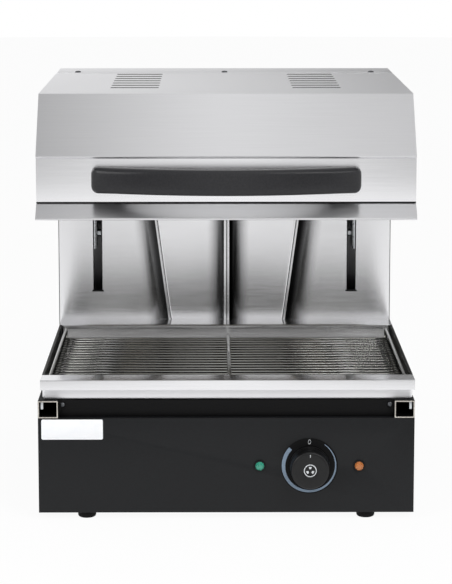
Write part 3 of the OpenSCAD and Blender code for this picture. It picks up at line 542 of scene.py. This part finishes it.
def lift_louvres(bm):
    """Raised lips at the rear edge of the slots, as a punch lifts them."""
    for side in (-1, 1):
        for row in range(vent_rows):
            y = vent_front_y + row * (vent_back_y - vent_front_y) / (vent_rows - 1) + vent_w / 2
            middle = side * vent_x
            corners = block(bm, (middle - vent_l / 2 + 1, y - 0.3, top_z - 0.8),
                            (middle + vent_l / 2 - 1, y + 1.8, top_z + 0.7))
            bevel(bm, [e for e in edges_of(corners) if min(v.co.z for v in e.verts) > top_z * MM], 0.3, 2)


hood = folded(bmesh.new(), [(head_back_y, top_z), (slope_top_y, top_z), (hem_y, slope_low_z),
                            (hem_y, hem_z), (panel_y + 3, hem_z)], [2.0, 1.4, 1.2],
              sheet, -half_w, half_w)
hood = cut(hood, vent_cutters())
lift_louvres(hood)
# Painted shade: faces in the vent area that don't look up, such as the slot walls, get the dark steel.
for side_face in hood.faces:
    centre = side_face.calc_center_median() / MM
    on_deck = slope_top_y + 20 < centre.y < head_back_y - 10 and centre.z > slope_low_z + 20
    if on_deck and side_face.normal.z < 0.3 and abs(centre.x) < vent_x + vent_l / 2 + 1:
        side_face.material_index = 1
piece(hood, "hood", [steel_x, painted_shade_steel], "head_hood")

# %% [markdown]
# ## The front of the head
# Below the hood come the panel that carries the handle and a lip that flares out to throw heat
# forward. Both are folded strips. Their bottom edges turn inwards, and the lip's flange frames the
# opening under the heating elements. The shadow in the seam between them is too thin for a small
# picture, so the panel's lower bend is painted dark in its place.

# %% Handle panel and flared lip
panel_return = 12
panel = folded(bmesh.new(), [(panel_y + panel_return, hem_z), (panel_y, hem_z), (panel_y, panel_low_z),
                             (panel_y + panel_return, panel_low_z)], [1.6, 1.6], sheet, -half_w, half_w)
# Painted shadow: the panel's lower bend gets the dark steel, in place of the shadow in the seam.
for bend_face in panel.faces:
    if bend_face.calc_center_median().z < (panel_low_z + 2) * MM:
        bend_face.material_index = 1
piece(panel, "handle_panel", [panel_steel, painted_shade_steel], "head_front")

pan_half, tuck, seam = -pan_low_x, 3, 0.02
lip = folded(bmesh.new(), [(panel_y + 6, lip_z), (panel_y - 1, lip_z), (lip_y, head_z + 2.4),
                           (lip_y, head_z), (pan_front + tuck, head_z)], [1.2, 1.6, 1.2],
             sheet, -half_w, half_w)
for side in (-1, 1):
    block(lip, (min(side * half_w, side * (pan_half - tuck)), pan_front + tuck + seam, head_z),
          (max(side * half_w, side * (pan_half - tuck)), head_back_y, head_z + sheet))
block(lip, (tuck - pan_half + seam, pan_back - tuck, head_z),
      (pan_half - tuck - seam, head_back_y, head_z + sheet))
piece(lip, "flared_lip", steel_x, "head_lip")

# %% [markdown]
# ## Plates that only need eased edges
# A modelled plate has sharper edges than any real one, whose eased edges show as thin bright lines.
# These plates take their solid's own mesh and get a fine bevel.

# %% Eased plates and panels
eased_pieces((
    ("head_ends", "head_sides", steel_y, 0.4),
    ("column_cap", "column_top", steel_x, 0.4),
    ("column_shell", "column_wrap", steel_z, 0.5),
    ("base_body", "base_box", powder_black, 0.55),
    ("control_panel", "control_front", powder_black, 0.6),
    ("badge_plate", "blank_badge", badge_white, 0.15),
    ("front_riser", "riser_strip", rail_black, 0.4)))

# %% [markdown]
# ## The bow handle
# The handle is one phenolic moulding: thick ends that sit on the panel, and a grip that bows
# forward between them. It is a ring of points that is drawn along X in many short steps. Then each
# ring becomes the section at its place, a rectangle with well rounded corners whose front lies on a
# shallow arc and whose back lies on a deeper finger arc. Near the ends the section shrinks along a
# quarter circle, which rounds the corners as the mould does.

# %% Bow handle
(handle_x, handle_y, _), _ = span("handle")
handle_rise = 47
handle_half, handle_z = -handle_x, head_z + handle_rise
handle_reach, grip_depth, end_depth, end_land = panel_y - handle_y, 15, 20, 30
grip_height, end_height, corner = 30.4, 31, 8
inner_reach = handle_reach - grip_depth


def arc_drop(x, half_chord, rise):
    """How far an arc falls short of its middle at x."""
    radius = (half_chord ** 2 + rise ** 2) / (2 * rise)
    return radius - sqrt(radius ** 2 - min(abs(x), half_chord) ** 2)


def section(x):
    """Front Y, back Y and height of the grip at x."""
    past = max(0, abs(x) - handle_half + corner)
    shrink = corner - sqrt(corner ** 2 - past ** 2)
    front = panel_y - handle_reach + arc_drop(x, handle_half, handle_reach - end_depth) + 0.8 * shrink
    back = panel_y - inner_reach + arc_drop(x, handle_half - end_land, inner_reach)
    return front, back, grip_height + (end_height - grip_height) * (x / handle_half) ** 4 - 2 * shrink


def square_off(value, power=0.45):
    """Pushes a sine or cosine outwards, so that a circle becomes a rounded square."""
    return abs(value) ** power * (1 if value > 0 else -1)


reach = handle_half - corner
tip = [reach + corner * sin(radians(a)) for a in (20, 40, 56, 70, 80, 87)]
stations = [-x for x in reversed(tip)] + [reach * (i / 32 - 1) for i in range(65)] + tip
bow = bmesh.new()
bmesh.ops.create_circle(bow, radius=1, segments=40, matrix=Matrix.Translation((stations[0] * MM, 0, 0)) @
                        Matrix.Rotation(radians(90), 4, "Y"))
edges = list(bow.edges)
for before, here in zip(stations, stations[1:]):
    edges = pull(bow, edges, (here - before, 0, 0))
bmesh.ops.holes_fill(bow, edges=bow.edges, sides=0)
for vert in bow.verts:
    front, back, height = section(vert.co.x / MM)
    y = (front + back + (back - front) * square_off(vert.co.y)) / 2
    vert.co = at(vert.co.x / MM, y, handle_z + height / 2 * square_off(vert.co.z))
piece(bow, "bow_handle", phenolic, "handle", sharp=60)

# %% [markdown]
# ## The face of the column
# The face is one bright sheet, pressed with three stiffening creases: one upright in the middle and
# two that lean towards it. A crease pulls the sheet beside it into a shallow curl. So the sheet is
# drawn as upright strips. Each strip follows a crease, and a short list says how far every line
# stands proud. A painted reflection follows every crease: a soft dark band beside it and a thin dark
# line along it. It stays where it is in other views and in other light, where a real reflection would
# move, so it is a shortcut to replace and not one to copy. Last the sheet gets its thickness, and two
# slots are cut for the lift arms. A narrow strip at both sides is painted dark too, as painted shade.

# %% Lines of the creases
crease_low_z, crease_top_z = rail_top_z + 27, top_z - 30
face_top_z = top_z - sheet
middle_x, lean_low_x, lean = 3, 77, 18 / 134
# Distance from a crease's own line, outwards or to the right, and how proud the sheet stands there
LEANING = [(-5, 0), (-2.6, 0.05), (-2.0, 0.5), (-1.3, 0.9), (-0.8, 0.5), (-0.2, 1.2), (1.6, 1.55),
           (2.6, 1.5), (5, 1.22), (8, 0.88), (12, 0.5), (16, 0.22), (21, 0.05), (26, 0)]
MIDDLE = [(-15, 0), (-11, 0.12), (-7, 0.46), (-4.6, 0.8), (-3.8, 1.3), (-2.4, 1.35), (-1.2, 1.3),
          (-0.6, 0.5), (0.4, 0.5), (1.0, 1.3), (2.6, 1.35), (3.6, 1.2), (7, 0.74), (11, 0.32),
          (15, 0.08), (19, 0)]


def lean_x(side, offset, z):
    """X of a line that runs beside a leaning crease."""
    return middle_x + side * (lean_low_x + lean * (z - crease_low_z) + offset)


# %% Finish of the face, with painted reflection bands
face_steel_painted_reflection = brushed_steel("stainless_bright_annealed_painted_reflection", ("#f6f6f8", "#fafafc"), (60, 2, 2), 0.2,
                           (0, 0, 1), 0.9)
tree = face_steel_painted_reflection.node_tree
surface = next(node for node in tree.nodes if node.type == "BSDF_PRINCIPLED")
metal = surface.inputs["Base Color"].links[0].from_socket
spot = add(tree, "ShaderNodeTexCoord").outputs["Object"]
part = add(tree, "ShaderNodeSeparateXYZ", {0: spot}).outputs
line = add(tree, "ShaderNodeMath", {0: part["Z"], 1: lean, 2: (lean_low_x - lean * crease_low_z) * MM},
           operation="MULTIPLY_ADD").outputs[0]
off_middle = add(tree, "ShaderNodeMath", {0: part["X"], 1: middle_x * MM}, operation="SUBTRACT").outputs[0]
left_of_middle = add(tree, "ShaderNodeMath", {0: off_middle, 1: -1.0}, operation="MULTIPLY").outputs[0]
right_of_crease = add(tree, "ShaderNodeMath", {0: off_middle, 1: line}, operation="SUBTRACT").outputs[0]
left_of_crease = add(tree, "ShaderNodeMath", {0: left_of_middle, 1: line}, operation="SUBTRACT").outputs[0]
# Painted reflection bands beside and along the creases. Each row: a distance, where a band starts,
# is full and ends in millimetres, and its darkness
PAINTED_REFLECTION_BANDS = [(left_of_crease, 2.4, 4, 34, 0.94), (right_of_crease, 2.4, 6, 38, 0.99),
         (off_middle, 3.6, 6, 33, 1.0), (left_of_middle, 3.8, 5, 28, 0.92),
         (left_of_crease, -1.6, -0.6, -0.5, 0.75), (right_of_crease, -1.4, -0.4, -0.3, 0.8),
         (off_middle, -0.9, 0.6, 0.9, 0.6)]
shade = 0.0
for distance, start, full, end, dark in PAINTED_REFLECTION_BANDS:
    begins = add(tree, "ShaderNodeMapRange", {"Value": distance, "From Min": (start - 0.4) * MM,
                                              "From Max": start * MM, "To Max": dark}).outputs[0]
    fades = add(tree, "ShaderNodeMapRange", {"Value": distance, "From Min": full * MM, "From Max": end * MM,
                                             "To Min": 1.0, "To Max": 0.0},
                interpolation_type="SMOOTHSTEP").outputs[0]
    band_share = add(tree, "ShaderNodeMath", {0: begins, 1: fades}, operation="MULTIPLY").outputs[0]
    shade = add(tree, "ShaderNodeMath", {0: shade, 1: band_share}, operation="MAXIMUM").outputs[0]
toned = add(tree, "ShaderNodeMix", {"Factor": shade, "A": metal, "B": srgb("#040404")}, data_type="RGBA")
tree.links.new(toned.outputs["Result"], surface.inputs["Base Color"])
print("nodes in the face's finish:", len(tree.nodes))

# %% Column face
painted_shade_strip = 0.9
lines = [(lambda z: -half_w, 0), (lambda z: painted_shade_strip - half_w, 0)]
lines += [(lambda z, d=d: lean_x(-1, d, z), rise) for d, rise in reversed(LEANING)]
lines += [(lambda z, d=d: middle_x + d, rise) for d, rise in MIDDLE]
lines += [(lambda z, d=d: lean_x(1, d, z), rise) for d, rise in LEANING]
lines += [(lambda z: half_w - painted_shade_strip, 0), (lambda z: half_w, 0)]
LEVELS = [(deck_z, 0), (crease_low_z - 0.6, 0), (crease_low_z, 1), (crease_top_z, 1), (crease_top_z + 4, 0),
          (face_top_z, 0)]
face = bmesh.new()
for z, share in LEVELS:
    row = [face.verts.new(at(x_of(z), face_y - share * rise, z)) for x_of, rise in lines]
    strip = [face.edges.new(pair) for pair in zip(row, row[1:])]
    if z > deck_z:
        bmesh.ops.bridge_loops(face, edges=below + strip)
    below = strip
bmesh.ops.recalc_face_normals(face, faces=face.faces)
if sum(f.normal.y for f in face.faces) > 0:
    bmesh.ops.reverse_faces(face, faces=face.faces)
bmesh.ops.solidify(face, geom=list(face.faces), thickness=sheet * MM)
slot_inset, slot_half, above_slot, below_slot = 53, 6.3, 12, 7
slot_x, slot_top_z = half_w - slot_inset, top_z - above_slot
slot_low_z = span("slot_liners")[0][2] + below_slot
slots = bmesh.new()
for side in (-1, 1):
    block(slots, (side * slot_x - slot_half, face_y - 9, slot_low_z),
          (side * slot_x + slot_half, face_y + 9, slot_top_z))
face = cut(face, slots)
# Painted shade: a narrow strip at both sides of the face gets the dark steel.
for strip_face in face.faces:
    if abs(strip_face.calc_center_median().x) > (half_w - painted_shade_strip) * MM:
        strip_face.material_index = 1
piece(face, "creased_face", [face_steel_painted_reflection, painted_shade_steel], "column_face", sharp=24)

# %% [markdown]
# ## The drip tray
# The tray is a shallow well of thin stainless sheet with a rim on all sides. In front the rim is
# wide and folds down into a lip that serves as a pull, and at the back a flange fills the way to the
# column. A deep-drawn well has rounded corners, so it starts as a block without its top, gets its
# edges rounded, and only then its wall. The rims are folded sheet again. The inside of the well and
# the top of the side rims are painted dark, in place of what they mirror at a low angle.

# %% Drip tray
(tray_low_x, tray_low_y, tray_floor_z), (tray_high_x, tray_high_y, rim_z) = span("drip_tray")
gauge, side_rim = 1.0, 3.0
front_rim_w, front_lip_h, rear_lip_h = 30, 12, 6
well_side, well_front, rear_flange = 2, 8, 39
well_low = (tray_low_x + well_side, tray_low_y + well_front, tray_floor_z)
well_high = (tray_high_x - well_side, face_y - rear_flange + gauge, rim_z - gauge)
well_middle = [(low + high) / 2 for low, high in zip(well_low, well_high)]
well_middle[2] += 200
tray = bmesh.new()
block(tray, well_low, well_high)
bmesh.ops.delete(tray, geom=[f for f in tray.faces if f.normal.z > 0.9], context="FACES_ONLY")
rounded = [e for e in tray.edges if min(v.co.z for v in e.verts) < (tray_floor_z + 1) * MM]
bevel(tray, rounded, 3.5, 4)
bmesh.ops.recalc_face_normals(tray, faces=tray.faces)
if sum(f.normal.z for f in tray.faces) > 0:
    bmesh.ops.reverse_faces(tray, faces=tray.faces)
outer_faces = list(tray.faces)
bmesh.ops.solidify(tray, geom=outer_faces, thickness=gauge * MM)
# Painted reflection: the well's inner faces, all but the rear wall, get the dark well finish.
for well_face in tray.faces:
    inwards = well_face.calc_center_median() / MM - Vector(well_middle)
    if well_face.normal.dot(inwards) < 0:
        rear_wall = well_face.normal.y < -0.9 and inwards.y > 0
        well_face.material_index = 0 if rear_wall else 1
    elif well_face.normal.y < -0.5:
        well_face.material_index = 2
front_rim = folded(bmesh.new(), [(tray_low_y + front_rim_w, rim_z), (tray_low_y, rim_z),
                                 (tray_low_y, rim_z - front_lip_h)], [1.6], gauge, tray_low_x, tray_high_x)
rear_y = well_high[1] - gauge
rear_rim = folded(bmesh.new(), [(tray_high_y, rim_z), (rear_y, rim_z), (rear_y, rim_z - rear_lip_h)],
                  [1.8], gauge, tray_low_x, tray_high_x)
side_rims = bmesh.new()
for x in (tray_low_x, tray_high_x - side_rim):
    block(side_rims, (x, tray_low_y + front_rim_w + seam, rim_z - gauge),
          (x + side_rim, rear_y - seam, rim_z))
for part in (front_rim, rear_rim, side_rims):
    scratch = bpy.data.meshes.new("joining")
    part.to_mesh(scratch)
    part.free()
    tray.from_mesh(scratch)
    bpy.data.meshes.remove(scratch)
# Painted reflection: the tops of the side rims get the dark well finish too.
for rim_face in tray.faces:
    centre = rim_face.calc_center_median() / MM
    beside = min(centre.x - tray_low_x, tray_high_x - centre.x) < side_rim + 0.1
    between = tray_low_y + front_rim_w + 1 < centre.y < rear_y - 1
    if beside and between and rim_face.normal.z > 0.5:
        rim_face.material_index = 1
piece(tray, "tray_sheet", [tray_steel, well_painted_reflection, outer_steel], "drip_tray")

# %% [markdown]
# ## The wire grid
# Straight bars lie across two side loops and are welded where they touch, and a thicker rod ties
# their middles. Each bar is a turned rod with rounded tips. A loop is one wire bent into a flat
# oval: a ring of points runs straight, turns about the bend's centre, and meets its start again.

# %% Grid bars
ALONG_X = Matrix.Rotation(radians(90), 4, "Y")
ALONG_Y = Matrix.Rotation(radians(-90), 4, "X")


def rod(bm, start, length, diameter, turn, steps=16):
    """A rod with rounded tips that runs from start along +X or +Y."""
    r = diameter / 2
    tip = [(r * sin(radians(a)), r * 0.6 * (1 - cos(radians(a)))) for a in (0, 30, 60, 90)]
    back = [(radius, length - height) for radius, height in reversed(tip)]
    turned(bm, tip + back, Matrix.Translation(at(*start)) @ turn, steps)


(bars_low_x, bars_low_y, _), (bars_high_x, bars_high_y, _) = span("grid_bars")
(_, loop_low_y, loop_low_z), (_, loop_high_y, loop_high_z) = span("grid_frame")
wire_d, middle_d, weld, pitch, tie_right = 4, 5, 0.4, 15.5, 3
first_bar_y, last_bar_y = bars_low_y + 3, bars_high_y - 3
bar_count = round((last_bar_y - first_bar_y) / pitch) + 1
bar_z = loop_low_z + wire_d / 2 + wire_d - weld
bars = bmesh.new()
for i in range(bar_count):
    y = first_bar_y + i * (last_bar_y - first_bar_y) / (bar_count - 1)
    rod(bars, (bars_low_x, y, bar_z), bars_high_x - bars_low_x, wire_d, ALONG_X)
tie_x = (bars_low_x + bars_high_x) / 2 + tie_right
rod(bars, (tie_x, bars_low_y, bar_z + (wire_d + middle_d) / 2 - weld), bars_high_y - bars_low_y, middle_d,
    ALONG_Y, 20)
piece(bars, "wire_bars", chrome_wire, "grid_bars", sharp=80)


# %% Grid loops
def oval_loop(bm, x, low, high, diameter):
    """A wire bent into an upright oval. low and high are its outer (y, z) limits."""
    r = diameter / 2
    low_y, low_z, high_y, high_z = low[0] + r, low[1] + r, high[0] - r, high[1] - r
    bend = (high_z - low_z) / 2
    middle_z = low_z + bend
    ring = bmesh.ops.create_circle(bm, radius=r * MM, segments=14, matrix=Matrix.Translation(
        at(x, low_y + bend, low_z)) @ ALONG_Y)["verts"]
    edges = edges_of(ring)
    straight = high_y - low_y - 2 * bend
    for centre_y, run in ((high_y - bend, straight), (low_y + bend, -straight)):
        edges = pull(bm, edges, (0, run, 0))
        last = bmesh.ops.spin(bm, geom=edges, cent=at(x, centre_y, middle_z), axis=(1, 0, 0), angle=pi,
                              steps=12, use_merge=False)["geom_last"]
        edges = [e for e in last if isinstance(e, bmesh.types.BMEdge)]


loops = bmesh.new()
for x in (bars_low_x + wire_d / 2, bars_high_x - wire_d / 2):
    oval_loop(loops, x, (loop_low_y, loop_low_z), (loop_high_y, loop_high_z), wire_d)
piece(loops, "wire_loops", chrome_wire, "grid_frame", sharp=80)

# %% [markdown]
# ## Knob, dial and pilot lamps
# The knob is a turned shape with a skirt and a shallow dish in its cap. A printed ring marks the
# middle of the cap, and a short line shows where it points. The scale on the dial is a crescent that
# grows from thin to thick, so that a cook reads it without words, with a zero at the off place. Print
# is thin, so each mark is a sheet that lies a few hundredths of a millimetre proud.

# %% Knob
(dial_low_x, dial_y, dial_low_z), (dial_high_x, _, dial_high_z) = span("dial_plate")
knob_x, control_z = (dial_low_x + dial_high_x) / 2, (dial_low_z + dial_high_z) / 2
(_, knob_face_y, _), (_, knob_back_y, _) = span("knob")


def in_front(y):
    """A turned shape's place on the knob's axis, with its foot at that Y."""
    return Matrix.Translation(at(knob_x, y, control_z)) @ FRONT


knob_length = knob_back_y - knob_face_y
knob_profile = [(0, 0), (23.4, 0), (24, 0.6), (24, 3.2), (23.7, 3.9), (23.3, 4.2), (23.2, 5),
                (22.9, knob_length - 3), (22.6, knob_length - 1.6), (21.9, knob_length - 0.7),
                (20.8, knob_length - 0.15), (19.6, knob_length), (9.6, knob_length),
                (8.8, knob_length - 0.25), (8, knob_length - 0.8), (0, knob_length - 0.8)]
turned_knob = bmesh.new()
turned(turned_knob, knob_profile, in_front(knob_back_y), 72)
piece(turned_knob, "control_knob", knob_black, "knob", sharp=60)


# %% Printed marks
PRINT_LIFT, PRINT_THICK = 0.03, 0.06


def band(bm, inner, outer, first, last, steps):
    """A flat band on the XY plane from one angle to another, in degrees. inner and outer give a
    radius at the start and at the end."""
    rows = []
    for i in range(steps + 1):
        share = i / steps
        turn = radians(first + share * (last - first))
        radii = [edge[0] + share * (edge[1] - edge[0]) for edge in (inner, outer)]
        rows.append([bm.verts.new(at(r * cos(turn), r * sin(turn), PRINT_LIFT)) for r in radii])
    for (a, b), (c, d) in zip(rows, rows[1:]):
        bm.faces.new((a, b, d, c))


def printed(bm, name, material, y, body):
    """Gives a flat print a little thickness and lays it on a front face."""
    bmesh.ops.remove_doubles(bm, verts=bm.verts, dist=SAME_POINT)
    bmesh.ops.recalc_face_normals(bm, faces=bm.faces)
    bmesh.ops.solidify(bm, geom=list(bm.faces), thickness=PRINT_THICK * MM)
    bmesh.ops.transform(bm, matrix=in_front(y), verts=bm.verts)
    return piece(bm, name, material, body=body)


scale = bmesh.new()
band(scale, (28.6, 31.2), (33.4, 32), 137, 415, 72)
printed(scale, "dial_scale", ink_grey, dial_y, "base")

zero = bmesh.new()
band(zero, (1.55, 1.55), (1.95, 1.95), 0, 360, 24)
bmesh.ops.scale(zero, vec=(0.85, 1.45, 1), verts=zero.verts)
bmesh.ops.translate(zero, vec=at(0, 29.4, 0), verts=zero.verts)
printed(zero, "dial_zero", ink_white, dial_y, "base")

ring = bmesh.new()
band(ring, (6.6, 6.6), (7.6, 7.6), 0, 360, 48)
for turn in (90, 210, 330):
    band(ring, (2.2, 2.2), (4.8, 4.8), turn - 24, turn + 24, 8)
printed(ring, "knob_ring", ink_white, knob_face_y + 0.8, "dial")

pointer = bmesh.new()
band(pointer, (16.2, 16.2), (19.4, 19.4), 88.8, 91.2, 2)
printed(pointer, "knob_pointer", ink_white, knob_face_y, "dial")

# %% Pilot lamps
LENSES = [("lamp_green", "green_lens", green_glass), ("lamp_orange", "orange_lens", orange_glass)]
for node, name, glass in LENSES:
    (low_x, _, _), (high_x, back_of_lens_y, _) = span(node)
    place = Matrix.Translation(at((low_x + high_x) / 2, back_of_lens_y, control_z)) @ FRONT
    lens = bmesh.new()
    turned(lens, [(0, 0), (6.5, 0), (6.5, 1.0), (6.2, 1.5), (5.6, 1.6), (0, 1.6)], place, 40)
    for rim_face in lens.faces:
        rim_face.material_index = 1
    turned(lens, [(0, 1.2), (5.5, 1.2), (5.3, 2.8), (4.2, 4.1), (2.4, 4.8), (0, 5)], place, 10)
    piece(lens, name, [glass, matt_plastic], node, sharp=12)

# %% [markdown]
# ## Screws, feet and rail stops
# The pan-head screws have a turned head with a cross recess, cut with two crossed bars. A foot is a
# turned rubber plug with a rounded sole and a recess for its screw.

# %% Pan-head screws
def pan_head(places, head_d, head_h, shank_d, shank_l, turn):
    """Screws at several places. Each has its head's underside there and points along turn's +Z."""
    heads, recess = bmesh.new(), bmesh.new()
    r = head_d / 2
    profile = [(0, -shank_l), (shank_d / 2, -shank_l + 0.4), (shank_d / 2, 0), (r * 0.96, 0),
               (r, 0.25 * head_h), (r * 0.93, 0.6 * head_h), (r * 0.72, 0.9 * head_h), (r * 0.4, head_h),
               (0, head_h)]
    for i, place in enumerate(places):
        where = Matrix.Translation(at(*place)) @ turn @ Matrix.Rotation(radians(20 + 35 * i), 4, "Z")
        turned(heads, profile, where, 28)
        for along, across in ((0.62 * r, 0.13 * r), (0.13 * r, 0.62 * r)):
            bar = block(recess, (-along, -across, 0.45 * head_h), (along, across, head_h + 1))
            bmesh.ops.transform(recess, matrix=where, verts=bar)
    return cut(heads, recess, crossed=True)


cap_inset, cap_back = 28, 12
riser_inset, riser_back, riser_down = 29, 8, 6
cap_places = [(side * (half_w - cap_inset), face_y + cap_back, top_z) for side in (-1, 0, 1)]
piece(pan_head(cap_places, 8, 1.8, 4, 7, Matrix.Identity(4)), "top_screws", dark_screw, "cap_screws")
riser_places = [(side * (half_w - riser_inset), front_y + riser_back, rail_top_z - riser_down)
                for side in (-1, 1)]
piece(pan_head(riser_places, 6, 2, 4, 6, FRONT), "front_screws", dark_screw, "riser_screws")

# %% Feet
(foot_low_x, foot_low_y, _), (foot_high_x, foot_high_y, foot_top_z) = span("rubber_feet")
foot_r = 11.5
feet = bmesh.new()
foot_profile = [(2.75, foot_top_z), (2.75, 3.5), (5.5, 3.5), (5.5, 0.3), (6, 0), (8.8, 0), (10.2, 0.8),
                (10.9, 2.2), (11.3, foot_top_z - 0.6), (foot_r, foot_top_z), (2.75, foot_top_z)]
for x in (foot_low_x + foot_r, foot_high_x - foot_r):
    for y in (foot_low_y + foot_r, foot_high_y - foot_r):
        turned(feet, foot_profile, Matrix.Translation(at(x, y, 0)), 40)
piece(feet, "moulded_feet", rubber, "rubber_feet")

# %% [markdown]
# ## Tray rails
# The rails are black box tubes, open in front. Their cut ends and the stop tabs inside show bright
# steel, so the faces that look forward get a second material.

# %% Rails and stops
for node, name in (("rail_left", "left_rail"), ("rail_right", "right_rail")):
    rail = ease(merged_copy(node), 0.35)
    for side_face in rail.faces:
        if side_face.normal.y < -0.6 and side_face.calc_center_median().y < (front_y + 1) * MM:
            side_face.material_index = 1
    piece(rail, name, [rail_black, cut_steel], node)
eased_pieces((
    ("rail_stops", "stop_tabs", zinc, 0.5),
    ("arm_left", "left_arm", zinc, 0.35),
    ("arm_right", "right_arm", zinc, 0.35),
    ("slot_liners", "slot_trim", matt_plastic, 0.3)))

# %% [markdown]
# ## Solids that are right as they are
# The mechanism inside the column and the parts inside the base and the head are plain turned, sawn
# and folded shapes, and few people see them. Their solids stay, and each only gets its finish.

# %% Finishes for the solids that stay
DRESS = {
    powder_black: ["base_body", "control_panel", "bottom_plate"],
    rubber: ["rubber_feet"],
    zinc: ["foot_screws", "rail_stops", "handle_screws", "arm_left", "arm_right", "arm_bolts"],
    rail_black: ["rail_left", "rail_right", "front_riser"],
    dark_screw: ["riser_screws", "cap_screws"],
    badge_white: ["badge_plate"],
    matt_plastic: ["cable_gland", "gland_nut", "slot_liners"],
    dial_black: ["dial_plate"],
    green_glass: ["lamp_green"],
    orange_glass: ["lamp_orange"],
    pale_plastic: ["lamp_bodies", "regulator_body"],
    ceramic: ["terminal_block", "element_terminals"],
    face_steel_painted_reflection: ["column_face"],
    pan_steel: ["reflector", "element_supports"],
    steel_z: ["column_shell"],
    steel_x: ["column_cap", "head_hood", "head_front", "head_lip", "head_back"],
    tray_steel: ["drip_tray"],
    steel_y: ["head_ends"],
    machined: ["guide_rods", "rod_brackets", "axle_brackets", "upper_axle", "upper_sprockets", "lower_axle",
               "lower_sprockets", "weight_hooks", "carriage_blocks", "carriage_beam", "chain_clamps",
               "regulator_shaft"],
    oiled_steel: ["lifting_chains"],
    cast_iron: ["counterweight"],
    phenolic: ["handle"],
    knob_black: ["knob"],
    wool: ["insulation"],
    sheath: ["elements"],
    bronze: ["slide_bushes"],
    chrome_wire: ["grid_bars", "grid_frame"],
}
for finish, nodes in DRESS.items():
    for node in nodes:
        for slot in frame["nodes"][node].material_slots:
            slot.material = finish
print("dressed solids:", sum(len(nodes) for nodes in DRESS.values()))
